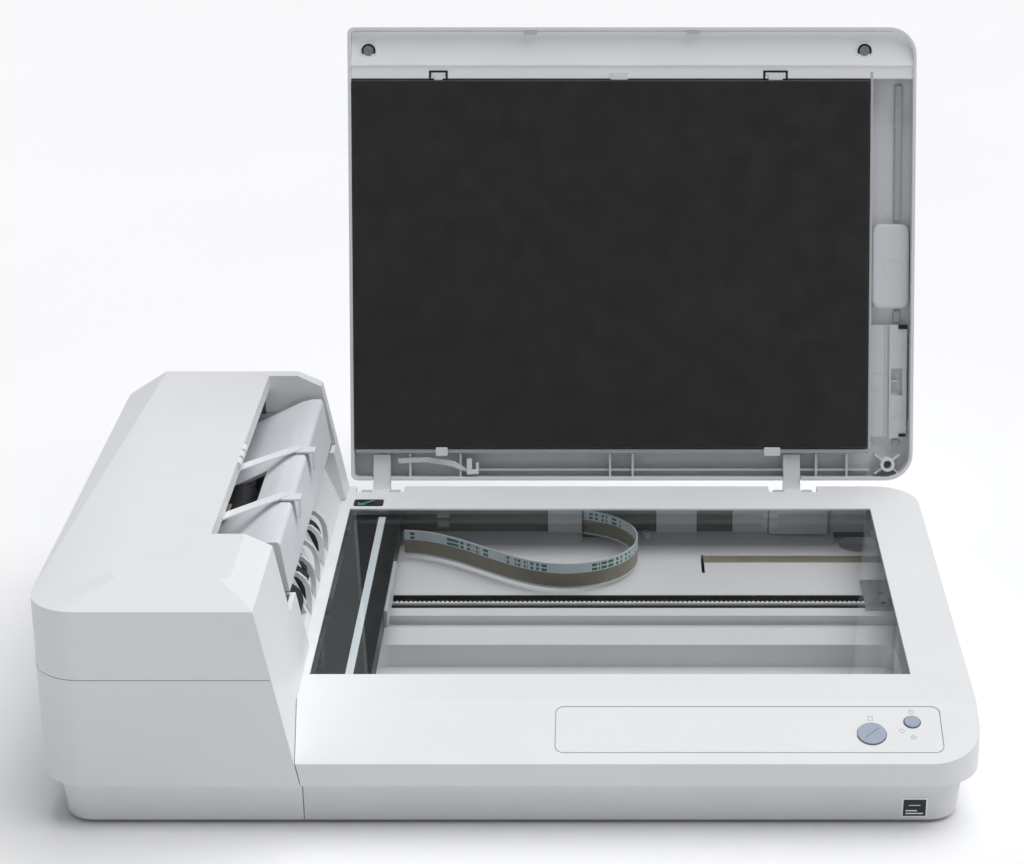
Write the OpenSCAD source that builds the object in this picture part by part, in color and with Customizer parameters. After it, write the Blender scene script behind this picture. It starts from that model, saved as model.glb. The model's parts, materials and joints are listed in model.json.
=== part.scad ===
// Document scanner: a sheet feeder at the left, a flatbed at the right, and an open lid.
// Frame: +X to the right, +Y to the back, +Z up; the origin is the centre of the footprint
// on the desk. Each moving piece is drawn in its rest place, with the lid open at its stop.

/* [Overall] */
// Overall width of the base
body_w = 451; // [440:1:560]
// Overall depth of the base
body_d = 319; // [305:1:400]
// Height of the flat bezel round the glass
base_h = 51; // [49:0.5:62]
// Height of the feeder
feeder_h = 122.6; // [112:0.1:150]
// Width of the feeder at its flange
feeder_w = 125.7; // [121:0.1:150]
// Radius of the upright corners
corner_r = 25; // [16:1:32]

/* [Casing] */
// Wall of the moulded covers
wall = 2.6; // [2:0.1:3.2]
// Height of the flange's lower edge
flange_z = 25; // [22:0.5:27]
// How far the skirt stands back under the flange
skirt_in = 7; // [5:0.5:10]
// How much further the skirt draws in at its foot
skirt_draft = 2.5; // [0:0.5:4]
// Height of the feet
foot_h = 2; // [1.5:0.1:4]
// Radius of a foot
foot_r = 9; // [6:0.5:12]
// Depth of the sloped front, from the front edge to its crease
slope_d = 39.5; // [36:0.5:50]
// Fall of the sloped front
slope_deg = 19.7; // [12:0.1:24]
// Seam left between two covers
seam = 0.4; // [0.3:0.1:1]
// Height of the seam round the feeder
feeder_seam_z = 80.5; // [78:0.5:86]
// Lean of the feeder's right side
lean_deg = 11.31; // [6:0.01:14]

/* [Glass] */
// Width of the opening over the glass
glass_w = 298; // [248:1:300]
// Depth of the opening over the glass
glass_d = 216; // [180:1:218]
// Bezel between the feeder's foot and the glass
glass_left = 3.5; // [3:0.5:8]
// Bezel in front of the glass, from the front edge
glass_front = 68.5; // [64:0.5:72]
// Thickness of the glass
glass_t = 3; // [2:0.1:4]
// Lip of the bezel over the glass
glass_lip = 1.2; // [0.8:0.1:2]
// How far the glass reaches under the bezel
glass_under = 5; // [3:0.5:6]

/* [Carriage] */
// Height of the inner deck
deck_z = 24; // [22.5:0.5:25]
// Width of the carriage
carriage_w = 28; // [22:0.5:34]
// Travel of the carriage
carriage_travel = 265; // [180:5:268]
// Place of the guide rail, from the glass's front edge
rail_from_front = 146; // [120:1:150]
// Width of the guide rail
rail_w = 15; // [15:0.5:20]
// Module of the belt's teeth
belt_m = 0.8; // [0.6:0.05:1]
// Teeth of the pinion on the belt
pinion_n = 10; // [8:1:10]
// Thickness of the belt behind its teeth
belt_t = 1; // [0.8:0.1:1.6]
// Height of the belt
belt_h = 4.8; // [4:0.2:5]

/* [Lid] */
// Angle from closed to the open stop
lid_open = 105.7; // [90:0.1:112]
// Thickness of the lid
lid_t = 15; // [13:0.5:20]
// Gap between the closed lid and the bezel
lid_gap = 1.2; // [1:0.1:2]
// How far the lid's front edge stops behind the crease
lid_setback = 2.5; // [0:0.5:6]
// Distance of the hinge's axis from the back edge
hinge_in = 4.5; // [4:0.5:7]
// Distance of the hinge's axis below the bezel
hinge_drop = 5; // [4.5:0.5:7]
// Radius of the hinge's pins
hinge_pin_r = 2; // [1.5:0.1:2.6]
// Thickness of the document pad
pad_t = 5; // [3:0.5:6]
// Height of the input chute's pivot over the closed lid
chute_rise = 34; // [26:1:40]

/* [Rollers] */
// Radius of the main feed rollers
feed_r = 16; // [13:0.5:17]
// Radius of the pick roller
pick_r = 11; // [9:0.5:12]
// Radius of the exit rollers
exit_r = 10.5; // [9:0.5:11]
// Radius of the roller shafts
shaft_r = 3; // [2:0.1:3.4]
// Running clearance of a shaft in its bore
run_gap = 0.05; // [0.03:0.01:0.1]

/* [Buttons] */
// Radius of the scan button
scan_r = 6.9; // [5:0.1:9]
// Radius of the power button
power_r = 3.9; // [3:0.1:5]
// Clearance round a button
button_gap = 0.35; // [0.2:0.05:0.6]
// Travel of the buttons
button_travel = 0.8; // [0.4:0.1:1]

/* [Hidden] */
$fn = 48;
big = 900;                       // longer than the machine in any direction
nib = 0.01;                      // thin slice for a lofted shape
x_l = -body_w / 2;
x_r = body_w / 2;
y_f = -body_d / 2;
y_b = body_d / 2;
split_x = x_l + feeder_w;        // foot of the feeder's right side, at the flange
lean = tan(lean_deg);
crease_y = y_f + slope_d;
function side_x(z) = split_x - lean * (z - flange_z);
glass_x = side_x(base_h) + glass_left;
glass_y = y_f + glass_front;
glass_top = base_h - glass_lip;
glass_bot = glass_top - glass_t;
under_x = side_x(base_h) - 45;   // how far the flatbed reaches under the feeder
shelf_y0 = crease_y + 2;         // front of that reach
shelf_y1 = y_b - wall - seam;    // back of that reach
deck_t = 2.4;

// ---- shared shapes ------------------------------------------------------------------------

// Rounded rectangle from (x0, y0) to (x1, y1).
module slab2d(x0, y0, x1, y1, r) {
    translate([x0 + r, y0]) square([x1 - x0 - 2 * r, y1 - y0]);
    translate([x0, y0 + r]) square([x1 - x0, y1 - y0 - 2 * r]);
    for (x = [x0 + r, x1 - r], y = [y0 + r, y1 - r]) translate([x, y]) circle(r);
}
module slab(x0, y0, z0, x1, y1, z1, r) {
    translate([0, 0, z0]) linear_extrude(z1 - z0) slab2d(x0, y0, x1, y1, r);
}
module block(x0, y0, z0, x1, y1, z1) {
    translate([x0, y0, z0]) cube([x1 - x0, y1 - y0, z1 - z0]);
}
// Outline of the whole base, drawn in by a distance.
module base_outline(d) {
    slab2d(x_l + d, y_f + d, x_r - d, y_b - d, corner_r - d);
}
// Everything left of the feeder's slanted right side, moved right by gap.
module left_of_side(gap) {
    translate([split_x + gap, 0, flange_z]) rotate([0, -lean_deg, 0])
        translate([-big, -big / 2, -big / 2]) cube(big);
}
// Everything over the sloped front, moved along its normal by gap.
module over_slope(gap) {
    on_slope() translate([-big / 2, -big / 2, gap]) cube(big);
}
// Places children on the sloped front: local y runs back, local z stands out of it.
module on_slope() {
    translate([0, crease_y, base_h]) rotate([slope_deg, 0, 0]) children();
}
// A rod along Y.
module rod_y(x, z, y0, y1, r) {
    translate([x, y0, z]) rotate([-90, 0, 0]) cylinder(h = y1 - y0, r = r);
}
// A rod along X.
module rod_x(y, z, x0, x1, r) {
    translate([x0, y, z]) rotate([0, 90, 0]) cylinder(h = x1 - x0, r = r);
}
// A profile of (x, z) points, extruded from y0 to y1.
module profile_y(points, y0, y1) {
    translate([0, y1, 0]) rotate([90, 0, 0]) linear_extrude(y1 - y0) polygon(points);
}
// Skirt of the base: drafted form, drawn in by d and made longer by e at both ends.
module skirt_form(d, e = 0) {
    hull() {
        translate([0, 0, flange_z - nib + e]) linear_extrude(nib) base_outline(skirt_in + d);
        translate([0, 0, foot_h - e]) linear_extrude(nib)
            base_outline(min(skirt_in + skirt_draft, corner_r - 8) + d);
    }
}
// Spur gear with straight sided teeth: module m, n teeth, a tooth centred on +X.
module gear2d(n, m, ease = 0.16) {
    rp = n * m / 2;
    ra = rp + 0.85 * m;
    rf = rp - 1.2 * m;
    function at(r, half) = 180 / PI * (half / r);
    half_p = PI * m / 4 - ease;
    half_a = half_p - 0.85 * m * tan(20);
    half_f = half_p + 0.9 * m * tan(20);
    polygon([for (i = [0 : n - 1], k = [0 : 5])
        let (a = 360 * i / n,
             r = [rf, rp, ra, ra, rp, rf][k],
             t = [-at(rf, half_f), -at(rp, half_p), -at(ra, half_a),
                  at(ra, half_a), at(rp, half_p), at(rf, half_f)][k])
        [r * cos(a + t), r * sin(a + t)]]);
}
// Gear about a Y axis, turned by a degrees, with a bore.
module gear_y(x, z, y0, y1, n, m, a, bore) {
    difference() {
        translate([x, y1, z]) rotate([90, 0, 0]) rotate([0, 0, a])
            linear_extrude(y1 - y0) gear2d(n, m);
        rod_y(x, z, y0 - 1, y1 + 1, bore);
    }
}

// ---- base ---------------------------------------------------------------------------------

plate_in = skirt_in + min(skirt_draft, corner_r - 8 - skirt_in) + wall + seam;
plate_t = 2;

module bottom_plate() {
    color("gainsboro") difference() {
        slab(x_l + plate_in, y_f + plate_in, foot_h, x_r - plate_in, y_b - plate_in,
            foot_h + plate_t, corner_r - plate_in);
        for (i = [0 : 11]) slab(x_l + 60 + i * 9, y_b - 75, 0, x_l + 64 + i * 9, y_b - 45,
            foot_h + plate_t + 1, 1.9);
    }
}

foot_x = x_r - plate_in - 18;
foot_y = y_b - plate_in - 16;

module feet() {
    color("dimgray") {
        for (x = [-foot_x, foot_x], y = [-foot_y, foot_y])
            translate([x, y, 0]) cylinder(h = foot_h, r = foot_r);
        cylinder(h = foot_h, r = foot_r);
    }
}

// The flatbed's own ground plan, right of the seam and reaching under the feeder.
module flatbed_side() {
    difference() {
        translate([-big / 2, -big / 2, -1]) cube(big);
        difference() {
            left_of_side(seam);
            block(under_x, shelf_y0, -2, x_r, shelf_y1, base_h + 1);
            translate([-big / 2, -big / 2, flange_z - big]) cube(big);
        }
        translate([-big + split_x + seam, -big / 2, -2]) difference() {
            cube([big, big, flange_z + 2]);
            translate([big - split_x - seam + under_x, big / 2 + shelf_y0, -1])
                cube([big, shelf_y1 - shelf_y0, big]);
        }
    }
}

rail_y = glass_y + rail_from_front;
rib_back = y_b - skirt_in - wall - 1 - seam;
ledge_y = rail_y - 17;           // front of the raised deck
tray_y = ledge_y - 26;           // back of the deep tray
shelf_z = deck_z - 5.7;          // floor between the two
tray_z = foot_h + plate_t + 1.2; // floor of the deep tray
tray_x0 = glass_x + 22;
tray_x1 = glass_x + glass_w + 4;
cup_x = x_r - 34;                // round cup at the right of the deck
cup_y = rib_back - 12;
cup_r = 11.6;

module lower_case() {
    skirt_wall = skirt_in + wall;
    color("gainsboro") difference() {
        union() {
            intersection() {
                difference() {
                    skirt_form(0);
                    skirt_form(wall, 1);
                }
                flatbed_side();
                block(split_x + seam, y_f, 0, x_r, y_b, flange_z);
            }
            // deck: a raised back, a lower shelf and a deep tray, each with its wall
            slab(under_x + seam, ledge_y, deck_z - deck_t, x_r - skirt_wall - 9,
                y_b - skirt_wall - 1.5, deck_z, 8);
            slab(split_x + seam, ledge_y - 1, deck_z - deck_t, x_r - skirt_wall + 1,
                y_b - skirt_wall + 1, deck_z, 12);
            block(under_x + seam, ledge_y, shelf_z - deck_t, x_r - skirt_wall + 1,
                ledge_y + deck_t, deck_z - deck_t / 2);
            difference() {
                union() {
                    block(under_x + seam, shelf_y0 + wall + seam, shelf_z - deck_t,
                        x_r - skirt_wall + 1, ledge_y + 1, shelf_z);
                    block(split_x + seam, y_f + skirt_wall - 1, shelf_z - deck_t,
                        x_r - skirt_wall - corner_r + 12, shelf_y0 + wall + seam + 10, shelf_z);
                }
                slab(tray_x0, glass_y - 4, 0, tray_x1, tray_y, big, 9);
            }
            difference() {
                slab(tray_x0 - 1.6, glass_y - 5.6, tray_z - 1, tray_x1 + 1.6, tray_y + 1.6,
                    shelf_z, 10.6);
                slab(tray_x0, glass_y - 4, tray_z, tray_x1, tray_y, big, 9);
            }
            // trough for the rail, and the cup
            block(rail_x0 - 2, rail_y - rail_w / 2 - seam - 1.6, rail_z0 - seam - 1.6, rail_x1 + 2,
                rail_y + rail_w / 2 + seam + 1.6, deck_z);
            translate([cup_x, cup_y, deck_z - 6]) cylinder(h = 6, r = cup_r + 1.4);
            // screw bosses and glass posts
            for (x = [glass_x + 30, glass_x + glass_w * 0.6, x_r - 24])
                translate([x, glass_y - 12, shelf_z - nib])
                    cylinder(h = glass_bot - shelf_z - seam, r = 4);
        }
        // sockets in the back wall
        block(socket_x - 8, y_b - 20, 7, socket_x + 8, y_b, 18);
        block(socket_x + 22, y_b - 20, 7, socket_x + 37, y_b, 18);
        // cup, slit and long shallow seat for a flat lead at the right of the deck
        translate([cup_x, cup_y, deck_z - 4.6]) cylinder(h = big, r = cup_r);
        block(slit_x, slit_y0, deck_z - deck_t - 1, slit_x + 1.8, slit_y0 + 26, deck_z + 1);
        block(slit_x + 1, slit_y0 + 14.6, deck_z - 0.7, x_r - 22.5, slit_y0 + 24.6, deck_z + 1);
        // groove for the rail
        block(rail_x0 - seam, rail_y - rail_w / 2 - seam, rail_z0 - seam, rail_x1 + seam,
            rail_y + rail_w / 2 + seam, deck_z + 1);
    }
}

slit_x = glass_x + 201;
slit_y0 = rail_y + 40;
rib_x0 = glass_x + 20;
rib_top = glass_bot - 3;
// Of each column: distance from the glass's left edge, width, and how far it stands out
columns = [[113, 19.6, 2], [176, 23.5, 2], [220.4, 20.5, 2], [241.3, 35, 4.5], [276.6, 22, 1]];

// Wall with columns that stiffens the back of the flatbed, on a sloped foot.
module rear_rib_wall() {
    color("lightgray") difference() {
        union() {
            block(rib_x0, rib_back - 1.6, deck_z, x_r - 26, rib_back, rib_top);
            for (c = columns) profile_y([[glass_x + c[0], deck_z + 1],
                [glass_x + c[0] + c[1], deck_z + 1], [glass_x + c[0] + c[1] - 0.6, rib_top],
                [glass_x + c[0] + 0.6, rib_top]], rib_back - 1.6 - c[2], rib_back - 1.5);
            translate([rib_x0, 0, 0]) rotate([90, 0, 90]) linear_extrude(cup_x - cup_r - 2 - rib_x0)
                polygon([[rib_back - 1.5, deck_z], [rib_back - 14, deck_z],
                    [rib_back - 3, deck_z + 3.6], [rib_back - 1.5, deck_z + 3.8]]);
        }
        // slot that takes the end of the ribbon cable
        block(ribbon_end_x - 1, rib_back - 16, ribbon_z0 - 0.4, ribbon_end_x + 26, rib_back - 0.7,
            ribbon_z0 + ribbon_h + 0.4);
    }
}

notch_w = 28;                    // width of a hinge notch
notch_l = glass_x + 15;          // centres of the two notches
notch_r = glass_x + glass_w * 0.858;
notch_y = y_b - 9;

module top_frame() {
    color("whitesmoke") difference() {
        intersection() {
            difference() {
                translate([0, 0, flange_z]) linear_extrude(base_h - flange_z) base_outline(0);
                over_slope(0);
                // hollow under the plate and the slope
                difference() {
                    translate([0, 0, flange_z + wall]) linear_extrude(base_h - flange_z)
                        base_outline(wall);
                    translate([-big / 2, -big / 2, glass_top]) cube(big);
                    over_slope(-wall);
                    // wall at the end under the feeder
                    block(under_x, shelf_y0, 0, under_x + wall, shelf_y1, base_h);
                    // wall against the feeder at the front, and the end walls of the shelf
                    difference() {
                        block(x_l, y_f, 0, x_r, shelf_y0 + wall, base_h);
                        difference() {
                            translate([-big / 2, -big / 2, -1]) cube(big);
                            left_of_side(seam + wall);
                        }
                    }
                    block(under_x, shelf_y0, 0, side_x(base_h) + 2, shelf_y0 + wall, base_h);
                    block(under_x, shelf_y1 - wall, 0, side_x(base_h) + 2, shelf_y1, base_h);
                }
                // open bottom inside the flange
                translate([0, 0, flange_z - 1]) linear_extrude(wall + 2)
                    base_outline(skirt_in + wall + 1);
            }
            flatbed_side();
        }
        // glass opening and the seat under its lip
        block(glass_x, glass_y, 0, glass_x + glass_w, glass_y + glass_d, base_h + 1);
        block(glass_x - glass_under, glass_y - glass_under, glass_bot - 1,
            glass_x + glass_w + glass_under, glass_y + glass_d + glass_under, glass_top);
        // hinge notches
        for (x = [notch_l, notch_r]) slab(x - notch_w / 2, notch_y, base_h - 14,
            x + notch_w / 2, y_b + 10, base_h + 1, 2);
        // seats of the control panel, its buttons and its lamp
        on_slope() {
            translate([0, 0, -panel_t]) linear_extrude(panel_t + 1) panel_outline(0.5);
            translate([scan_x, scan_y, -10]) cylinder(h = 12, r = scan_r + 1);
            translate([power_x, power_y, -10]) cylinder(h = 12, r = power_r + 1);
            translate([power_x, lamp_y, -10]) cylinder(h = 12, r = lamp_r + 0.1);
        }
    }
}

module platen_glass() {
    color("azure", 0.3) slab(glass_x - glass_under + 0.4, glass_y - glass_under + 0.4, glass_bot,
        glass_x + glass_w + glass_under - 0.4, glass_y + glass_d + glass_under - 0.4,
        glass_top, 1);
}

// ---- control panel ------------------------------------------------------------------------

panel_t = 1.2;
panel_x1 = x_r - 19;
panel_w = 185;
panel_y0 = -34.2;
panel_y1 = -4.6;
scan_x = panel_x1 - 33.5;
scan_y = -22.4;
power_x = panel_x1 - 13.6;
power_y = -14.6;
lamp_y = -24.4;
lamp_r = 1.5;
button_out = 0.7;

module panel_outline(grow) {
    slab2d(panel_x1 - panel_w - grow, panel_y0 - grow, panel_x1 + grow, panel_y1 + grow, 4 + grow);
}
module panel_plate() {
    color("whitesmoke") on_slope() difference() {
        translate([0, 0, -panel_t]) linear_extrude(panel_t) panel_outline(0);
        translate([scan_x, scan_y, -3]) cylinder(h = 6, r = scan_r + button_gap);
        translate([power_x, power_y, -3]) cylinder(h = 6, r = power_r + button_gap);
        translate([power_x, lamp_y, -3]) cylinder(h = 6, r = lamp_r);
    }
}
// A round button with a stem that passes through the casing.
module button(x, y, r) {
    on_slope() translate([x, y, -4.2]) cylinder(h = 4.2 + button_out, r = r);
}
module scan_button() {
    color("lightsteelblue") difference() {
        button(scan_x, scan_y, scan_r);
        on_slope() translate([scan_x, scan_y, button_out - 0.25]) rotate([0, 0, 42])
            translate([-4.6, -0.25, 0]) cube([9.2, 0.5, 1]);
    }
}
module power_button() {
    color("lightsteelblue") button(power_x, power_y, power_r);
}
module status_lamp() {
    color("silver") on_slope() translate([power_x, lamp_y, -3]) cylinder(h = 3.1, r = lamp_r);
}
// Corner arrow that shows where a page is laid.
module origin_label() {
    color("darkslategray") slab(glass_x + 1.5, glass_y + glass_d + 3.5, base_h,
        glass_x + 18.5, glass_y + glass_d + 13.5, base_h + 0.2, 1.5);
}
// Small blank label low on the front.
module front_label() {
    tilt = atan2(skirt_draft, flange_z - foot_h);
    color("black") translate([x_r - 38, y_f + skirt_in + skirt_draft, foot_h])
        rotate([tilt, 0, 0]) translate([0, -0.23, 1.5]) cube([12.5, 0.2, 11]);
}

// ---- carriage and its drive ---------------------------------------------------------------

rail_x0 = under_x + 8;
rail_x1 = glass_x + glass_w + 8;
rail_z0 = deck_z - 6.2;          // the rail lies in a groove of the deck
rail_z1 = deck_z + 0.8;
rail_floor = rail_z0 + 1.6;
rail_wall = 1.3;
belt_z0 = rail_floor + 0.4;
rack_pitch = PI * belt_m;
pinion_r = pinion_n * belt_m / 2;
carriage_x = glass_x + 1.5;
carriage_y0 = glass_y - 2;
carriage_y1 = glass_y + glass_d + 2;
carriage_z0 = deck_z + 10.5;
carriage_z1 = glass_bot - 0.6;
motor_x = carriage_x + 8;

// Row of n rack teeth along +X, pointing to +Y, with a tooth centred at the origin.
module rack2d(n, m, back, ease = 0.16) {
    half = PI * m / 4 - ease;
    translate([-PI * m / 2, -1.2 * m - back]) square([n * PI * m, back]);
    for (i = [0 : n - 1]) translate([i * PI * m, 0]) polygon([
        [-half - 0.42 * m, -1.2 * m - 0.01], [-half + 0.31 * m, 0.85 * m],
        [half - 0.31 * m, 0.85 * m], [half + 0.42 * m, -1.2 * m - 0.01]]);
}
// Channel along X: a floor and two low walls, in which the belt stands.
module guide_rail() {
    color("black") difference() {
        block(rail_x0, rail_y - rail_w / 2, rail_z0, rail_x1, rail_y + rail_w / 2, rail_z1);
        block(rail_x0 - 1, rail_y - rail_w / 2 + rail_wall, rail_floor, rail_x1 + 1,
            rail_y + rail_w / 2 - rail_wall, rail_z1 + 1);
    }
}
// Toothed belt, held at both ends; the carriage's pinion climbs along it.
module drive_belt() {
    n = floor((rail_x1 - 14 - rail_x0 - 10) / rack_pitch);
    first = motor_x - rack_pitch / 2 - floor((motor_x - rail_x0 - 10) / rack_pitch) * rack_pitch;
    color("white") translate([first, rail_y - pinion_r, belt_z0]) linear_extrude(belt_h)
        rack2d(n, belt_m, belt_t);
}
module belt_anchor() {
    color("black") translate([0, 0, rail_floor]) difference() {
        block(rail_x0 + 1, rail_y - rail_w / 2 + 1.7, 0, rail_x0 + 7, rail_y + rail_w / 2 - 1.7, 4.8);
        translate([rail_x0 + 4, rail_y + 4, -1]) cylinder(h = 8, r = 1.4);
    }
}
// Bent steel bracket that pulls the belt's far end.
module belt_bracket() {
    x = rail_x1 - 9;
    color("silver") difference() {
        union() {
            block(x - 8, rail_y - rail_w / 2 - 4, rail_z1 + 0.6, x + 8,
                rail_y + rail_w / 2 + 18, rail_z1 + 1.4);
            for (s = [-1, 1]) translate([x - 8, rail_y + s * (rail_w / 2 + 3.4) - 0.6, deck_z])
                cube([16, 1.2, rail_z1 + 1 - deck_z]);
        }
        for (y = [-6, 7]) translate([x + 2, rail_y + y, 0]) cylinder(h = 60, r = 1.6);
    }
}
// The pinion hangs from the carriage's motor into the channel.
module motor_pinion() {
    color("goldenrod") translate([motor_x, rail_y, 0]) {
        translate([0, 0, belt_z0 - 0.2]) rotate([0, 0, -90])
            linear_extrude(belt_h) gear2d(pinion_n, belt_m);
        translate([0, 0, belt_z0]) cylinder(h = carriage_z0 + 1.4 - belt_z0, r = 1.2);
    }
}
module scan_motor() {
    color("silver") translate([motor_x, rail_y, 0]) difference() {
        translate([0, 0, carriage_z0 + 0.6]) cylinder(h = 8.4, r = 6);
        cylinder(h = carriage_z0 + 2.4, r = 1.2 + run_gap);
    }
}
module carriage_body() {
    color("black") difference() {
        slab(carriage_x, carriage_y0, carriage_z0, carriage_x + carriage_w, carriage_y1,
            carriage_z1, 1.5);
        block(carriage_x + 15, carriage_y0 + 3, carriage_z1 - 3, carriage_x + 19,
            carriage_y1 - 3, carriage_z1 + 1);
        block(carriage_x + 3, carriage_y0 + 6, carriage_z0 - 1, carriage_x + 25,
            rail_y - 22, carriage_z0 + 5);
        block(carriage_x + 3, rail_y + 22, carriage_z0 - 1, carriage_x + 25,
            carriage_y1 - 6, carriage_z0 + 5);
        translate([motor_x, rail_y, carriage_z0 - 1]) cylinder(h = carriage_z1 - carriage_z0 - 1,
            r = 6.2);
    }
}
// Light guide and window of the contact image sensor.
module sensor_bar() {
    color("white") block(carriage_x + 15, carriage_y0 + 3, carriage_z1 - 3, carriage_x + 19,
        carriage_y1 - 3, carriage_z1);
}
// Slider that rides on the rail, and the upright plate at the carriage's right side.
module carriage_slider() {
    gap = 0.3;
    color("lightslategray") difference() {
        union() {
            block(carriage_x - 9, rail_y - 18, rail_z1 + 1.4 + gap, carriage_x + 15,
                rail_y + 18, carriage_z0);
            block(carriage_x + carriage_w, rail_y - 56, carriage_z0, carriage_x + carriage_w + 1.6,
                rail_y + 10, carriage_z1 - 2);
            // keel in the channel, beside the belt
            block(carriage_x - 9, rail_y - 2.6, belt_z0, carriage_x - 1,
                rail_y + rail_w / 2 - rail_wall - gap, rail_z1 + 2.4);
        }
        translate([motor_x, rail_y, 0]) cylinder(h = 80, r = pinion_r + 1.6);
    }
}

// Route of the ribbon cable, standing on edge: from the carriage forward, round and back.
ribbon_t = 0.6;
ribbon_z0 = deck_z + 2.4;
ribbon_h = 15;
ribbon_x0 = carriage_x + carriage_w + 1.9;
ribbon_y0 = rail_y + 61;         // where it leaves the carriage
ribbon_cx = glass_x + 124.6;     // middle of the cable's turn
ribbon_cy = rib_back - 40.8;
ribbon_end_x = ribbon_cx + 9;
// The front run falls along half a cosine wave, then the turn is a slightly egg shaped arc.
ribbon_pts = concat(
    [for (t = [0 : 0.08 : 0.97]) [ribbon_x0 + (ribbon_cx - ribbon_x0) * t,
        ribbon_y0 + (ribbon_cy - 40 - ribbon_y0) * (1 - cos(180 * t)) / 2]],
    [for (a = [-90 : 12 : 66]) [ribbon_cx + 40 * cos(a), ribbon_cy + (a < 0 ? 40 : 39.4) * sin(a)]],
    [[ribbon_end_x, rib_back - 1.9]]);

// Sideways direction of the cable at point i.
function ribbon_side(i) =
    let (a = ribbon_pts[max(i - 1, 0)], b = ribbon_pts[min(i + 1, len(ribbon_pts) - 1)],
         d = (b - a) / norm(b - a)) [-d[1], d[0]];
module ribbon_cable() {
    last = len(ribbon_pts) - 1;
    color("lightsteelblue") translate([0, 0, ribbon_z0]) linear_extrude(ribbon_h) polygon(concat(
        [for (i = [0 : last]) ribbon_pts[i] + ribbon_side(i) * ribbon_t / 2],
        [for (i = [last : -1 : 0]) ribbon_pts[i] - ribbon_side(i) * ribbon_t / 2]));
}

// ---- electronics --------------------------------------------------------------------------

socket_x = x_r - 95;

module main_board() {
    color("darkgreen") {
        block(socket_x - 60, y_b - 95, 7.5, socket_x + 60, y_b - 22, 9);
        for (i = [0 : 3]) block(socket_x - 50 + i * 26, y_b - 70, 9, socket_x - 36 + i * 26,
            y_b - 56, 11);
    }
}
module power_socket() {
    color("black") difference() {
        block(socket_x - 7.5, y_b - 30, 9, socket_x + 7.5, y_b - skirt_in - skirt_draft - 0.4, 17.5);
        rod_y(socket_x, 13, y_b - 24, y_b, 3.5);
        block(socket_x - 20, y_b - 40, 7, socket_x - 8, y_b, 8);
    }
}
module usb_socket() {
    color("silver") difference() {
        block(socket_x + 23, y_b - 30, 9, socket_x + 36, y_b - skirt_in - skirt_draft - 0.4, 17.5);
        block(socket_x + 25, y_b - 24, 10.5, socket_x + 34, y_b, 16);
    }
}

// ---- feeder casing ------------------------------------------------------------------------

recess_f = crease_y + 62;        // front of the exit recess
recess_b = y_b - 22;             // back of the exit recess
face_top_x = side_x(feeder_seam_z) - 7;
face_top_z = 74;
face_foot_x = side_x(base_h) - 3;
open_x = side_x(feeder_h) - 28.5;     // left edge of the cover's opening
open_y0 = recess_f - 24;          // front and back edges of the opening
open_y1 = y_b - 9;
path_y0 = recess_f - 8;           // front end of the sheets' path

// Exit face between the bezel and the rollers, from y0 to y1.
module exit_face(y0, y1) {
    profile_y([[face_foot_x, base_h + seam], [face_foot_x - 2.5, base_h + seam],
        [face_top_x - 2, face_top_z - 0.6], [face_top_x, face_top_z]], y0, y1);
}
module feeder_case() {
    color("whitesmoke") difference() {
        union() {
            difference() {
                intersection() {
                    union() {
                        translate([0, 0, flange_z]) linear_extrude(feeder_seam_z - flange_z)
                            base_outline(0);
                    }
                    left_of_side(0);
                }
                intersection() {
                    translate([0, 0, flange_z + wall]) linear_extrude(feeder_h)
                        base_outline(wall);
                    left_of_side(-wall);
                }
                translate([0, 0, flange_z - 1]) linear_extrude(wall + 2)
                    base_outline(skirt_in + wall);
                // room for the flatbed's reach under the feeder
                block(under_x - seam, shelf_y0 - seam, 0, split_x + 9, shelf_y1 + seam - nib,
                    base_h + seam);
                // exit recess
                block(side_x(feeder_seam_z) - 12, recess_f, base_h, split_x + 9, recess_b, feeder_h);
            }
            intersection() {
                difference() {
                    skirt_form(0);
                    skirt_form(wall, 1);
                }
                block(x_l, y_f, 0, split_x, y_b, flange_z);
            }
            exit_face(recess_f, recess_b);
            // end walls of the recess
            for (y = [recess_f - wall, recess_b]) intersection() {
                block(side_x(feeder_seam_z) - 12, y, base_h + seam, split_x, y + wall, feeder_seam_z);
                left_of_side(0);
            }
        }
        // windows for the exit rollers and their bearing
        for (y = exit_y) block(exit_x - exit_r - 2, y - exit_roller_w / 2 - 1, exit_z - 8, split_x,
            y + exit_roller_w / 2 + 1, face_top_z + 5);
        block(exit_x - exit_r - 2, bearing_y - 6, exit_z - 6, split_x, bearing_y + 6, face_top_z + 5);
        // the exit shaft passes both end walls
        rod_y(exit_x, exit_z, recess_f - 5, recess_b + 5, shaft_r + 0.5);
    }
    color("whitesmoke") for (y = knuckle_y) difference() {
        union() {
            rod_y(hinge_cx, hinge_cz, y - knuckle_w / 2, y + knuckle_w / 2, knuckle_r);
            block(hinge_cx - knuckle_r, y - knuckle_w / 2, feeder_seam_z - 0.2,
                hinge_cx + knuckle_r, y + knuckle_w / 2, hinge_cz);
        }
        rod_y(hinge_cx, hinge_cz, y - knuckle_w, y + knuckle_w, knuckle_pin_r);
    }
}

knuckle_w = 14;
knuckle_y = [-96, 0, 96];
knuckle_pin_r = 0.7;
knuckle_r = wall / 2 - 0.1;       // a little less than the wall, which ends on the axis
hinge_cx = x_l + wall / 2;
hinge_cz = feeder_seam_z + seam + wall / 2;

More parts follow.
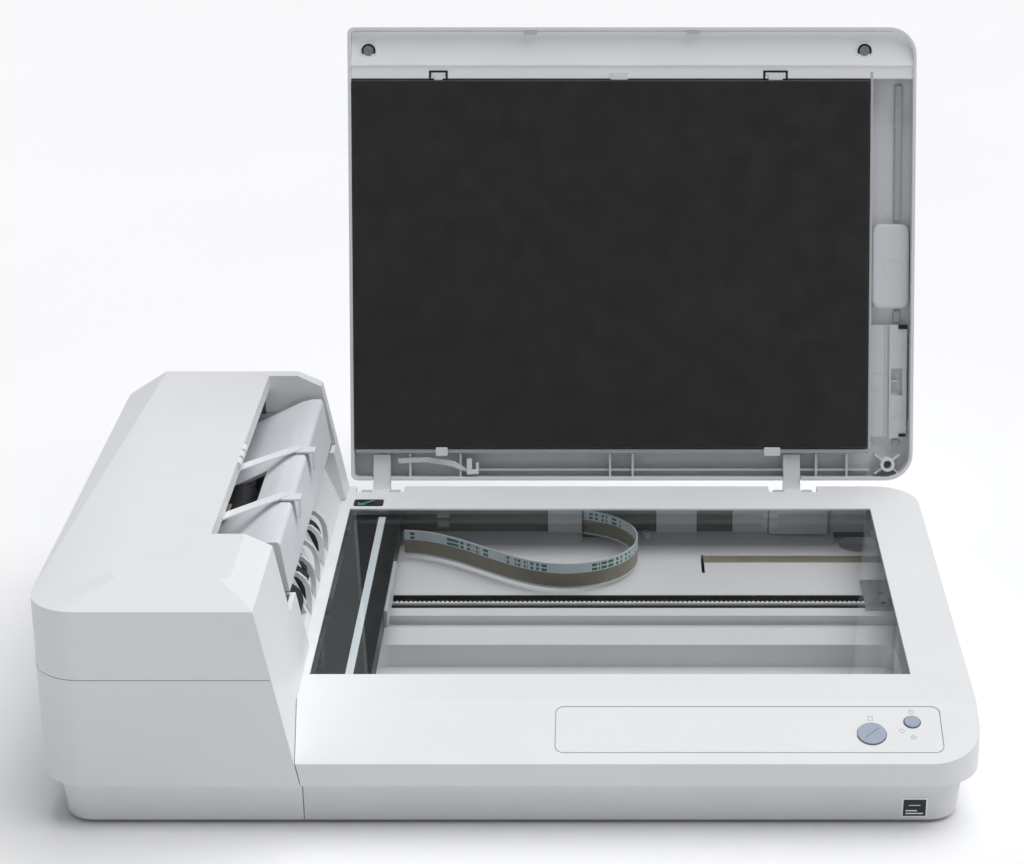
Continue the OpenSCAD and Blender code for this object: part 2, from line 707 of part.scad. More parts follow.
// Outer form of the cover, drawn in by d: an upright band and a bevelled top.
module cover_form(d) {
    lip_z = feeder_h - 6.8;
    top = feeder_h - d;
    bottom = feeder_seam_z - 1;
    intersection() {
        hull() {
            for (edge = [[bottom, split_x], [lip_z, side_x(lip_z) - d + 0.5]])
                translate([0, 0, edge[0]]) linear_extrude(nib) intersection() {
                    base_outline(d, $fn = 96);
                    translate([-big, -big / 2]) square([big + edge[1], big]);
                }
            translate([0, 0, top - nib]) linear_extrude(nib) polygon([
                [x_l + 18 + d, y_b - 1 - d], [x_l + 23 + d, y_b - 40], [x_l + 34 + d, y_f + 40 + d],
                [x_l + 40 + d, y_f + 24 + d], [side_x(feeder_h) - 16, y_f + 21.5 + d],
                [side_x(feeder_h) - 12 - d, y_f + 26 + d], [side_x(feeder_h) - 12 - d, y_b - 1 - d]]);
        }
        left_of_side(-d);
    }
}
module feeder_cover() {
    color("whitesmoke") difference() {
        union() {
            difference() {
                cover_form(0);
                cover_form(wall);
                block(open_x, open_y0, 0, x_r, open_y1, big);
            }
            // lip and grip ridges along the opening, and the opening's end walls
            intersection() {
                cover_form(0);
                union() {
                    block(open_x - wall, open_y0, feeder_h - 8, open_x, open_y1, big);
                    for (i = [0 : 2]) rod_y(open_x - 0.4, feeder_h - 2.4, y_b - 144 + i * 10,
                        y_b - 137 + i * 10, 2.2);
                    block(open_x - wall, open_y0 - wall, feeder_seam_z + seam + 16, big, open_y0, big);
                    block(open_x - wall, open_y1, feeder_seam_z + seam + 16, big, open_y1 + wall, big);
                }
            }
        }
        // bottom seam, rounded over the hinge's axis
        translate([-big / 2, -big / 2, -big + feeder_seam_z + seam]) cube(big);
        block(x_l - 1, y_f, 0, x_l + wall + 0.4, y_b, hinge_cz);
        for (y = knuckle_y) block(x_l - 1, y - knuckle_w / 2 - seam, 0, x_l + wall + 0.6,
            y + knuckle_w / 2 + seam, hinge_cz + wall / 2 + seam);
        rod_y(hinge_cx, hinge_cz, y_f, y_b, knuckle_pin_r + run_gap);
    }
    color("whitesmoke") difference() {
        for (s = [-1, 1]) for (y = [0, s * 96]) if (y != 0 || s == 1) {
            rod_y(hinge_cx, hinge_cz, y + knuckle_w / 2 + seam, y + knuckle_w / 2 + seam + 14,
                knuckle_r);
            rod_y(hinge_cx, hinge_cz, y - knuckle_w / 2 - seam - 14, y - knuckle_w / 2 - seam,
                knuckle_r);
        }
        rod_y(hinge_cx, hinge_cz, y_f, y_b, knuckle_pin_r + run_gap);
    }
}
module cover_hinge_pins() {
    color("silver") for (y = knuckle_y)
        rod_y(hinge_cx, hinge_cz, y - knuckle_w / 2 - 8, y + knuckle_w / 2 + 8, knuckle_pin_r);
}

// ---- paper path ---------------------------------------------------------------------------

ridge_x = side_x(feeder_h) + 2.5;     // outer edge of the guide's ridge
ridge_z = feeder_h - 12.6;
guide_y0 = path_y0 + 3;
guide_y1 = open_y1 - 4;
chute_end_x = open_x - 23;
chute_end_z = ridge_z - 22;

// Ridge over which the sheets slide in: a chute down to the left, a wall down to the right.
module chute_guide() {
    outer_foot_x = ridge_x + 3.8;
    foot_z = feeder_seam_z + 2.5;
    color("white") difference() {
        profile_y([[ridge_x, ridge_z - 1.6], [ridge_x - 1.2, ridge_z], [ridge_x - 5.5, ridge_z],
            [ridge_x - 12, ridge_z - 1.6], [chute_end_x, chute_end_z],
            [chute_end_x + 0.6, chute_end_z - 2], [ridge_x - 12, ridge_z - 4],
            [ridge_x - 5, ridge_z - 3], [outer_foot_x - 2.6, foot_z], [outer_foot_x, foot_z]],
            guide_y0, guide_y1);
        // window of the pick roller
        block(pick_x - pick_r - 2, pick_y - 21, 0, pick_x + pick_r + 2, pick_y + 21, big);
        // grooves between the three panels
        for (y = strip_y) translate([ridge_x - 14, y - 0.6, ridge_z - 0.9]) rotate([0, 0, 4])
            cube([20, 1.2, 2]);
    }
}

strip_y = [path_y0 + 63, path_y0 + 131];
// Two springy strips from the cover's edge to the ridge, hooked over it.
module hold_down_strips() {
    color("white") for (y = strip_y) {
        translate([open_x - 1, y - 41, feeder_h - 9.3]) rotate([0, 0, 52]) rotate([0, 2.5, 0])
            cube([50, 6, 1.2]);
        translate([ridge_x + 3.2, y - 7, ridge_z - 9]) cube([1.2, 8, 10.7]);
        translate([ridge_x - 6, y - 7, ridge_z + 0.5]) cube([10.4, 8, 1.2]);
    }
}
module exit_fins() {
    x0 = face_foot_x;
    color("white") for (y = fin_y) profile_y([[x0, base_h + 0.5], [x0 + 0.4, base_h + 1.5],
        [x0 + 0.8, base_h + 9], [x0 + 0.2, base_h + 16.5], [x0 - 1.8, base_h + 21],
        [x0 - 5.5, base_h + 24.6], [face_top_x - 3.8, base_h + 26.2], [face_top_x - 3.8, base_h + 24],
        [face_top_x, face_top_z], [x0 - 6.3, base_h + 21.9], [x0 - 4, base_h + 19.4],
        [x0 - 2.6, base_h + 15.5], [x0 - 2.1, base_h + 10], [x0 - 2.1, base_h + 5.6]],
        y, y + 2);
}
module separation_plate() {
    color("tan") translate([chute_end_x - 3, pick_y - 34, chute_end_z + 2.4]) rotate([0, -22, 0])
        cube([24, 18, 1]);
}

exit_roller_w = 13;
fin_pitch = 20.9;
fin_y = [for (i = [0 : 4]) recess_f + 35.5 + i * fin_pitch];
exit_y = [fin_y[0] - 12.5, fin_y[0] + 11.5, fin_y[3] + 11.5];
bearing_y = fin_y[1] + 10.5;

// Shaft places: the feed shaft leads, the exit and pick shafts lie at gear distances from it.
feed_x = x_l + 39.5;
feed_z = 76;
gm = 1;
feed_n = 58;
pick_n = 16;
transfer_n = 28;
exit_n = 18;
feeder_pinion_n = 12;
pick_a = 16;
exit_a = -11.4;
pinion_a = -100;
pick_x = feed_x + (feed_n + pick_n) / 2 * gm * cos(pick_a);
pick_z = feed_z + (feed_n + pick_n) / 2 * gm * sin(pick_a);
pick_y = 28;
transfer_d = (feed_n + transfer_n) / 2 * gm;
exit_d = transfer_d + (transfer_n + exit_n) / 2 * gm;
exit_x = feed_x + exit_d * cos(exit_a);
exit_z = feed_z + exit_d * sin(exit_a);
transfer_x = feed_x + transfer_d * cos(exit_a);
transfer_z = feed_z + transfer_d * sin(exit_a);
fpin_x = feed_x + (feed_n + feeder_pinion_n) / 2 * gm * cos(pinion_a);
fpin_z = feed_z + (feed_n + feeder_pinion_n) / 2 * gm * sin(pinion_a);
plate_y0 = recess_f - 20;
plate_y1 = open_y1 - 3.6;
plate_th = 2.5;
gear_ya = plate_y0 - 5;          // back faces of the two layers of gears
gear_yb = gear_ya - 6.5;
bracket_y = gear_yb - 9;

// Two upright plates that carry the shafts, and a small plate for the transfer gear's stud.
module side_plates() {
    outline = [[x_l + 9, base_h + 2], [side_x(base_h) - 8, base_h + 2], [side_x(90) - 7, 90],
        [side_x(100) - 9, 100], [x_l + 20, 102], [x_l + 9, 94]];
    color("silver") {
        for (y = [plate_y0, plate_y1]) difference() {
            profile_y(outline, y, y + plate_th);
            rod_y(feed_x, feed_z, y - 1, y + plate_th + 1, shaft_r + 1 + run_gap);
            rod_y(pick_x, pick_z, y - 1, y + plate_th + 1, shaft_r + run_gap);
            rod_y(exit_x, exit_z, y - 1, y + plate_th + 1, shaft_r + run_gap);
            rod_y(idle_x, idle_z, y - 1, y + plate_th + 1, idle_shaft_r + run_gap);
        }
        // bracket in front of the gears, tied to the plate by a post
        profile_y([[transfer_x - 7, base_h + 2], [transfer_x + 12, base_h + 2],
            [transfer_x + 12, transfer_z + 6], [transfer_x - 7, transfer_z + 6]],
            bracket_y, bracket_y + 2);
        rod_y(transfer_x, transfer_z, bracket_y + 1, gear_yb - 0.2, 2);
        rod_y(feed_x + 3, base_h + 5 - 24, bracket_y, bracket_y + 2, 4);
    }
}
// Curved guide that turns the sheet round the feed rollers.
module turn_guide() {
    r = feed_r + 3;
    color("lightgray") translate([feed_x, plate_y0 + plate_th, feed_z]) rotate([-90, 0, 0])
        linear_extrude(plate_y1 - plate_y0 - plate_th) difference() {
            circle(r + 2);
            circle(r);
            translate([2, -r * 2]) square(r * 4);
        }
}
// Plate under the path from the turn to the exit.
module lower_guide() {
    x0 = feed_x + 4;
    x1 = exit_x - exit_r - 1.5;
    z0 = feed_z - feed_r - 5;
    color("lightgray") profile_y([[x0, z0], [x0, z0 + 2], [x1, exit_z + exit_r - 1.2],
        [x1, exit_z + exit_r - 3.2]], plate_y0 + plate_th, plate_y1);
}
// One sensor under the path and one over it.
module feeder_sensors() {
    y0 = path_y0 + 10;
    y1 = open_y1 - 14;
    color("black") {
        block(feed_x + 12, y0, base_h - 8, feed_x + 30, y1, base_h + 2.6);
        block(feed_x + 19, y0, feed_z - 9, feed_x + 29.5, y1, pick_z - pick_r - 0.6);
    }
}
module feed_shaft() {
    color("silver") rod_y(feed_x, feed_z, gear_yb - 7.5, plate_y1 + plate_th + 1, shaft_r + 1);
}
module feed_rollers() {
    color("dimgray") for (y = [path_y0 + 40, path_y0 + 90, path_y0 + 140]) difference() {
        rod_y(feed_x, feed_z, y, y + 34, feed_r);
        rod_y(feed_x, feed_z, y - 1, y + 35, shaft_r + 1);
    }
}
module feed_gear() {
    color("ivory") gear_y(feed_x, feed_z, gear_yb - 6, gear_ya, feed_n, gm, exit_a, shaft_r + 1);
}
module pick_shaft() {
    color("silver") rod_y(pick_x, pick_z, gear_ya - 5.5, plate_y1 + plate_th + 1, shaft_r);
}
module pick_roller() {
    color("dimgray") difference() {
        rod_y(pick_x, pick_z, pick_y - 19, pick_y + 19, pick_r);
        rod_y(pick_x, pick_z, pick_y - 20, pick_y + 20, shaft_r);
    }
}
// The gears turn about Y, and a positive angle here runs from +X towards +Z.
// A follower's teeth are set so that a gap of it faces a tooth of the gear that drives it.
function mesh_at(n, m_n, dir, lead) =
    let (phase = (dir - lead) * m_n / 360, frac = phase - floor(phase))
    dir + 180 + 180 / n + frac * 360 / n;
module pick_gear() {
    color("ivory") gear_y(pick_x, pick_z, gear_ya - 5, gear_ya, pick_n, gm,
        mesh_at(pick_n, feed_n, pick_a, exit_a), shaft_r);
}
module transfer_gear() {
    color("ivory") gear_y(transfer_x, transfer_z, gear_yb - 5.5, gear_yb - 0.5, transfer_n, gm,
        exit_a + 180 + 180 / transfer_n, 2 + run_gap);
}
module exit_shaft() {
    color("silver") rod_y(exit_x, exit_z, gear_yb - 6, plate_y1 + plate_th + 1, shaft_r);
}
module exit_rollers() {
    color("dimgray") for (y = exit_y) difference() {
        rod_y(exit_x, exit_z, y - exit_roller_w / 2, y + exit_roller_w / 2, exit_r);
        rod_y(exit_x, exit_z, y - exit_roller_w, y + exit_roller_w, shaft_r);
    }
    color("saddlebrown") difference() {
        rod_y(exit_x, exit_z, bearing_y - 4, bearing_y + 4, exit_r - 2.5);
        rod_y(exit_x, exit_z, bearing_y - 5, bearing_y + 5, shaft_r);
    }
}
module exit_gear() {
    lead = exit_a + 180 + 180 / transfer_n;
    color("ivory") gear_y(exit_x, exit_z, gear_yb - 5.5, gear_yb - 0.5, exit_n, gm,
        mesh_at(exit_n, transfer_n, exit_a, lead), shaft_r);
}

idle_r = 4.6;
idle_shaft_r = 1.4;
idle_a = 102;
idle_x = exit_x + (exit_r + idle_r + 0.25) * cos(idle_a);
idle_z = exit_z + (exit_r + idle_r + 0.25) * sin(idle_a);

// Small pinch rollers on one rod, over the exit rollers.
module exit_idlers() {
    color("gainsboro") {
        rod_y(idle_x, idle_z, plate_y0 - 1, plate_y1 + plate_th + 1, idle_shaft_r);
        for (y = exit_y) difference() {
            rod_y(idle_x, idle_z, y - 5, y + 5, idle_r);
            rod_y(idle_x, idle_z, y - 6, y + 6, idle_shaft_r);
        }
    }
}
module feeder_motor() {
    color("silver") {
        rod_y(fpin_x, fpin_z, gear_yb - 48, gear_yb - 12, 13);
        rod_y(fpin_x, fpin_z, gear_yb - 13, gear_yb - 10, 5);
    }
}
module feeder_pinion() {
    color("goldenrod") {
        gear_y(fpin_x, fpin_z, gear_yb - 6, gear_yb - 0.5, feeder_pinion_n, gm,
            mesh_at(feeder_pinion_n, feed_n, pinion_a, exit_a), 1.2);
        rod_y(fpin_x, fpin_z, gear_yb - 10, gear_yb - 0.5, 1.2);
    }
}

// ---- lid ----------------------------------------------------------------------------------

hinge_y = y_b - hinge_in;
hinge_z = base_h - hinge_drop;
lid_x0 = side_x(base_h) + 0.6;
lid_x1 = x_r - 0.5;
lid_y0 = crease_y + lid_setback;
lid_y1 = hinge_y - 9;
lid_z0 = base_h + lid_gap;
lid_z1 = lid_z0 + lid_t;
pad_in = 1.5;                    // the pad overlaps the opening by this much at its side
pad_x0 = lid_x0 + 2.3;
pad_x1 = glass_x + glass_w + pad_in;
pad_y0 = glass_y + 4;
pad_y1 = glass_y + glass_d + 2;
pad_z0 = base_h + 0.4;
liner_z = lid_z0 + 1.6;

// Turns a piece drawn on the closed lid into its place on the open lid.
module at_open() {
    translate([0, hinge_y, hinge_z]) rotate([-lid_open, 0, 0])
        translate([0, -hinge_y, -hinge_z]) children();
}
// Outline of the lid, drawn in by d: round corners at the right, nearly square at the left.
module lid_outline(d) {
    slab2d(lid_x0 + 40, lid_y0 + d, lid_x1 - d, lid_y1 - d, 16 - d);
    slab2d(lid_x0 + d, lid_y0 + d, lid_x0 + 80, lid_y1 - d, 4 - d);
}
module lid_shell() {
    skin = 2;
    color("whitesmoke") at_open() {
        difference() {
            translate([0, 0, lid_z0]) linear_extrude(lid_t) lid_outline(0);
            translate([0, 0, lid_z0 - 1]) linear_extrude(lid_t + 1 - skin) lid_outline(skin);
            // hinge arms pass the back wall
            for (x = [notch_l, notch_r]) block(x - arm_w / 2 - 0.3, lid_y1 - 16, lid_z0 - 1,
                x + arm_w / 2 + 0.3, lid_y1 + 1, lid_z0 + 8.6);
        }
        // brackets that hold the chute over the lid
        for (y = chute_bracket_y) intersection() {
            profile_y([[lid_x0 + 1, lid_z1 - nib], [lid_x0 + 52, lid_z1 - nib],
                [chute_px + 7, chute_pz + 2], [chute_px, chute_pz + 6], [chute_px - 4, chute_pz]],
                y, y + 3);
            difference() {
                translate([-big / 2, -big / 2, 0]) cube(big);
                rod_y(chute_px, chute_pz, y - 1, y + 4, 2.5 + run_gap);
            }
        }
    }
}
// Inner plate that holds the pad, with the strip beyond it and the frame round it.
module lid_liner() {
    color("lightgray") at_open() difference() {
        union() {
            slab(lid_x0 + 2.3, pad_y0 - 7, liner_z + 2.4, pad_x1 + 2, pad_y1 + 3, liner_z + 4, 1);
            // strip
            translate([0, 0, lid_z0 + 1]) linear_extrude(liner_z + 3 - lid_z0) intersection() {
                lid_outline(2.3);
                translate([-big / 2, pad_y0 - 5 - big]) square(big);
            }
            // thin frame of the pad at the right and at the back
            block(pad_x1 + 0.4, pad_y0 - 5.2, lid_z0 + 0.6, pad_x1 + 2, pad_y1 + 3, liner_z + 3);
            block(lid_x0 + 2.6, pad_y1 + 0.4, lid_z0 + 0.6, pad_x1 + 2, pad_y1 + 2.2, liner_z + 3);
        }
        for (x = [lid_x0 + 12, lid_x1 - 30]) translate([x, lid_y0 + 11, 0]) {
            cylinder(h = lid_z0 + 2.5, r = 4.2);
            cylinder(h = big, r = 1.6);
        }
    }
}
module document_pad() {
    color("black") at_open() slab(pad_x0, pad_y0, pad_z0, pad_x1, pad_y1, pad_z0 + pad_t - 0.4, 1);
}
// Screws, latches, clips and the ribs at the lid's right side.
module lid_fittings() {
    color("silver") at_open() for (x = [lid_x0 + 12, lid_x1 - 30]) translate([x, lid_y0 + 11, 0])
        difference() {
            union() {
                translate([0, 0, lid_z0 + 0.8]) cylinder(h = 1.6, r = 3.4);
                translate([0, 0, lid_z0 + 2]) cylinder(h = 8, r = 1.5);
            }
            for (a = [0, 90]) translate([0, 0, lid_z0]) rotate([0, 0, a])
                translate([-2, -0.45, 0]) cube([4, 0.9, 1.6]);
        }
    color("white") at_open() {
        translate([lid_x1 - 14.5, lid_y1 - 9, lid_z0 + 1]) difference() {
            cylinder(h = lid_t - 3.2, r = 4);
            translate([0, 0, -1]) cylinder(h = 9, r = 2.4);
        }
        slab(lid_x1 - 23.5, lid_y0 + 114, lid_z1 - 7, lid_x1 - 3, lid_y0 + 163, lid_z1 - 2, 6);
        block(lid_x1 - 23, lid_y0 + 172, lid_z1 - 9, lid_x1 - 3, lid_y0 + 238, lid_z1 - 2);
        for (x = [glass_x + 30, glass_x + 60]) block(x, pad_y1 + 4.6, lid_z1 - 11, x + 1.6,
            lid_y1 - 2.4, lid_z1 - 2);
    }
}

arm_w = 10;
// Arms from the lid down to the pins in the base.
module lid_hinges() {
    color("whitesmoke") at_open() for (x = [notch_l, notch_r]) difference() {
        union() {
            rod_x(hinge_y, hinge_z, x - arm_w / 2, x + arm_w / 2, 4);
            translate([x - arm_w / 2, 0, 0]) rotate([90, 0, 90]) linear_extrude(arm_w) polygon([
                [hinge_y - 3.6, hinge_z + 1.6], [hinge_y + 3.4, hinge_z + 2],
                [hinge_y - 1, lid_z0 + 8.6], [lid_y1 - 15, lid_z0 + 8.6],
                [lid_y1 - 15, lid_z0 + 4.4], [lid_y1 - 2, lid_z0 + 2.4],
                [hinge_y - 3.6, base_h + 0.9]]);
        }
        rod_x(hinge_y, hinge_z, x - arm_w, x + arm_w, hinge_pin_r + run_gap);
    }
}
// Blocks in the notches, each with its steel pin.
module hinge_blocks() {
    color("lightgray") for (x = [notch_l, notch_r]) {
        for (s = [-1, 1]) translate([x + s * (arm_w / 2 + 0.4 + 3) - 3, notch_y + 1, base_h - 13.4])
            cube([6, 7.6, 11.5]);
        block(x - arm_w / 2 - 6.4, notch_y + 1, base_h - 14, x + arm_w / 2 + 6.4,
            notch_y + 8.6, base_h - 12.4);
        rod_x(hinge_y, hinge_z, x - arm_w / 2 - 3, x + arm_w / 2 + 3, hinge_pin_r);
    }
}

// ---- input chute, folded on the outside of the lid ----------------------------------------

chute_px = lid_x0 + 8;
chute_pz = lid_z1 + chute_rise;
chute_y0 = lid_y0 + 12;
chute_y1 = lid_y0 + 246;
chute_bracket_y = [chute_y0 - 4, chute_y1 + 1];
chute_len = 196;
chute_fold = 8.4;
guide_mid = (chute_y0 + chute_y1) / 2;
guide_half = 108.5;
guide_x = 70;

// Places a piece drawn flat along +X from the chute's pivot onto the folded chute.
module on_chute() {
    at_open() translate([chute_px, 0, chute_pz]) rotate([0, chute_fold, 0]) children();
}
module input_chute() {
    color("whitesmoke") on_chute() difference() {
        union() {
            slab(-3, chute_y0, -3, chute_len, chute_y1, 0, 3);
            for (y = [chute_y0 - 3.6, chute_y1 - 0.6])
                translate([0, y, 0]) rotate([-90, 0, 0]) cylinder(h = 4.2, r = 2.5);
        }
        // two slots for the stems of the side guides
        for (s = [-1, 1]) block(guide_x + 8, guide_mid + (s > 0 ? 14 : -guide_half - 8), -5,
            guide_x + 14, guide_mid + (s > 0 ? guide_half + 8 : -14), 1);
        translate([guide_x + 11, guide_mid, -5]) cylinder(h = 8, r = 1.5);
        block(120, guide_mid - 50, -1, 122, guide_mid + 50, 1);
    }
}
rack_m = 1;
rack_n = 18;
rack_z = -7;
rack_h = 2.6;
// Side guide: a wall on the chute, a stem in its slot and a rack beneath. s is its side.
module side_guide(s) {
    pitch_r = rack_n * rack_m / 2;
    pitch = PI * rack_m;
    past = 4.5 * pitch;          // first tooth, beyond the pinion; a gap then faces the pinion
    color("white") on_chute() translate([guide_x + 11, guide_mid, 0]) rotate([0, 0, s > 0 ? 0 : 180]) {
        translate([-26 * s - 50, guide_half, 0.3]) cube([100, 2, 14]);
        translate([-12, guide_half - 14, 0.3]) cube([24, 16, 1.4]);
        translate([-2.6, guide_half - 6, rack_z]) cube([5.2, 6, -rack_z + 0.4]);
        translate([-2.6, guide_half - 6, rack_z]) cube([pitch_r + 4.4, 6, rack_h]);
        translate([pitch_r, -past, rack_z]) linear_extrude(rack_h) rotate([0, 0, 90])
            rack2d(floor((guide_half + past) / pitch), rack_m, 1.6);
    }
}
module rear_side_guide() { side_guide(1); }
module front_side_guide() { side_guide(-1); }
module chute_pinion() {
    color("ivory") on_chute() translate([guide_x + 11, guide_mid, rack_z]) {
        linear_extrude(rack_h) gear2d(rack_n, rack_m);
        cylinder(h = -rack_z - 0.6, r = 1.5 - run_gap);
    }
}

bottom_plate();
feet();
lower_case();
rear_rib_wall();
top_frame();
platen_glass();
panel_plate();
scan_button();
power_button();
status_lamp();
origin_label();
front_label();
guide_rail();
drive_belt();
belt_anchor();
belt_bracket();
motor_pinion();
scan_motor();
carriage_body();
sensor_bar();
carriage_slider();
ribbon_cable();
main_board();
power_socket();
usb_socket();
feeder_case();
feeder_cover();
cover_hinge_pins();
chute_guide();
hold_down_strips();
exit_fins();
separation_plate();
side_plates();
turn_guide();
lower_guide();
feeder_sensors();
feed_shaft();
feed_rollers();
feed_gear();
pick_shaft();
pick_roller();
pick_gear();
transfer_gear();
exit_shaft();
exit_rollers();
exit_gear();
exit_idlers();
feeder_motor();
feeder_pinion();
lid_shell();
lid_liner();
document_pad();
lid_fittings();
lid_hinges();
hinge_blocks();
input_chute();
front_side_guide();
rear_side_guide();
chute_pinion();
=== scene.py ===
# %% [markdown]
# # A document scanner with a sheet feeder and a flatbed
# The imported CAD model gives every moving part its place. This script gives the parts their looks: it
# rounds the moulded edges, adds the small moulded features, and builds one material for each real
# finish. Lengths are written in millimetres and turned to metres by one number.

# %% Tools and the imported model
import json
import math

import bmesh
import bpy
from mathutils import Matrix, Vector


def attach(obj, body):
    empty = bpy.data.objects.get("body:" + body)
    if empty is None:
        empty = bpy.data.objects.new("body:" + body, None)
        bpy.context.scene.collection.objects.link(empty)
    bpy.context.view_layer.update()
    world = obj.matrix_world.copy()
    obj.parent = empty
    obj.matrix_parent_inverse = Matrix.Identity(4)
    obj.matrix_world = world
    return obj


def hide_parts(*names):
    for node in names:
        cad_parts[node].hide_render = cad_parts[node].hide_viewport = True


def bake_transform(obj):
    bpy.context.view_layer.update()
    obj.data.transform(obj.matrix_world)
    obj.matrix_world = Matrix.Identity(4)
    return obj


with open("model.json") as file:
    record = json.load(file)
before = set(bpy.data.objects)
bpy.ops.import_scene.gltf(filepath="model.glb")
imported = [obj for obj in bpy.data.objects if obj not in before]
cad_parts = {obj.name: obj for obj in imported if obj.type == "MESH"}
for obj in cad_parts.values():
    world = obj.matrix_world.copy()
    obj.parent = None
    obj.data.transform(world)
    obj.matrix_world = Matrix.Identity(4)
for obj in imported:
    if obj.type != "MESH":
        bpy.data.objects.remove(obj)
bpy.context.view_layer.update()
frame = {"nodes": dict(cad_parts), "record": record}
MM = 0.001
body_of = {n: b for b, names in frame["record"]["behaviour"]["bodies"].items() for n in names}
slot_of = {s["node"]: s["material_slot"] for s in frame["record"]["subparts"]}


# %% [markdown]
# ## Camera, light and floor
# A product like this is shot on a white table under one broad soft light from above, with a long
# lens. A wide sun and a grey-white sky give the same even tops, darker fronts and faint shadows.

# %% Camera, light and floor
camera = bpy.data.objects.new("camera", bpy.data.cameras.new("camera"))
bpy.context.scene.collection.objects.link(camera)
camera.location = (0.0475, -1.2661, 0.6216)
camera.rotation_euler = (math.radians(69.37), 0, 0)
camera.data.sensor_width = 36
camera.data.lens = 92.19
camera.data.shift_x = -0.0957
bpy.context.scene.camera = camera

sky = bpy.data.worlds.new("soft_white_sky")
bpy.context.scene.world = sky
sky.use_nodes = True
sky.node_tree.nodes["Background"].inputs["Color"].default_value = (0.96, 0.98, 1, 1)
sky.node_tree.nodes["Background"].inputs["Strength"].default_value = 0.24

overhead = bpy.data.objects.new("overhead_light", bpy.data.lights.new("overhead_light", "SUN"))
overhead.data.energy = 2.7
overhead.data.angle = math.radians(70)
overhead.rotation_euler = (math.radians(-9), math.radians(22), 0)
bpy.context.scene.collection.objects.link(overhead)

bpy.context.scene.view_settings.view_transform = "Standard"
bpy.context.scene.view_settings.look = "None"
print("camera looks along", [round(v, 3) for v in camera.rotation_euler])


# %% [markdown]
# ## How a material is put together
# Every finish is one shader whose colour, gloss and surface come from a few noise patterns. The
# patterns read Object coordinates, which are metres here, so a pattern's scale is one over its size.

# %% Helpers for materials
def linear(code, alpha=1.0):
    """An sRGB hex colour as the linear numbers a shader wants."""
    parts = [int(code[i:i + 2], 16) / 255 for i in (1, 3, 5)]
    return [c / 12.92 if c <= 0.04045 else ((c + 0.055) / 1.055) ** 2.4 for c in parts] + [alpha]


def add(tree, kind, sockets=(), **settings):
    """Adds one node with its settings; each socket gets a value or a link."""
    node = tree.nodes.new(kind)
    for key, value in settings.items():
        setattr(node, key, value)
    for key, value in dict(sockets).items():
        if isinstance(value, bpy.types.NodeSocket):
            tree.links.new(value, node.inputs[key])
        else:
            node.inputs[key].default_value = value
    return node


def new_material(name, **shader):
    """An empty material with a shader; keywords set the shader's own sockets."""
    material = bpy.data.materials.new(name)
    material.use_nodes = True
    tree = material.node_tree
    bsdf = tree.nodes["Principled BSDF"]
    for key, value in shader.items():
        bsdf.inputs[key.replace("_", " ").title().replace("Ior", "IOR")].default_value = value
    return material, tree, bsdf, add(tree, "ShaderNodeTexCoord").outputs["Object"]


def noise(tree, where, size_mm, detail=2.0):
    """A noise whose blobs are about size_mm across."""
    return add(tree, "ShaderNodeTexNoise", {"Vector": where, "Scale": 1 / (size_mm * MM),
                                            "Detail": detail}).outputs["Fac"]


def spread(tree, value, low, high):
    """Maps a noise from its usual 0.3 to 0.7 onto low to high."""
    return add(tree, "ShaderNodeMapRange", {"Value": value, "From Min": 0.3, "From Max": 0.7,
                                            "To Min": low, "To Max": high}).outputs["Result"]


def tint(tree, value, first, second):
    """A colour between two hex colours."""
    mix = add(tree, "ShaderNodeMix", {"Factor": value}, data_type="RGBA")
    mix.inputs["A"].default_value = linear(first)
    mix.inputs["B"].default_value = linear(second)
    return mix.outputs["Result"]


def relief(tree, bsdf, *layers):
    """Stacks bumps; a layer is a pattern and its depth in millimetres."""
    below = None
    for pattern, depth_mm in layers:
        links = {"Height": pattern, "Distance": depth_mm * MM, "Strength": 1.0}
        if below:
            links["Normal"] = below
        below = add(tree, "ShaderNodeBump", links).outputs["Normal"]
    tree.links.new(below, bsdf.inputs["Normal"])


# %% [markdown]
# ## Moulded ABS
# The covers are ABS, moulded in a tool whose face was spark eroded. That leaves a fine dull grain,
# very slight flow marks, and a soft sheen. The real grain is about 0.15 mm; it is drawn at 0.7 mm,
# because a finer one would not show.

# %% Moulded plastics
def moulded(name, first, second, roughness, grain_mm=0.7, depth_mm=0.004, gloss=0.45):
    material, tree, bsdf, place = new_material(name, IOR=1.53)
    bsdf.inputs["Specular IOR Level"].default_value = gloss
    flow = noise(tree, place, 60, 3)
    grain = noise(tree, place, grain_mm, 3)
    tree.links.new(tint(tree, spread(tree, flow, 0, 1), first, second), bsdf.inputs["Base Color"])
    tree.links.new(spread(tree, grain, roughness - 0.06, roughness + 0.06), bsdf.inputs["Roughness"])
    if depth_mm:
        relief(tree, bsdf, (grain, depth_mm))
    return material


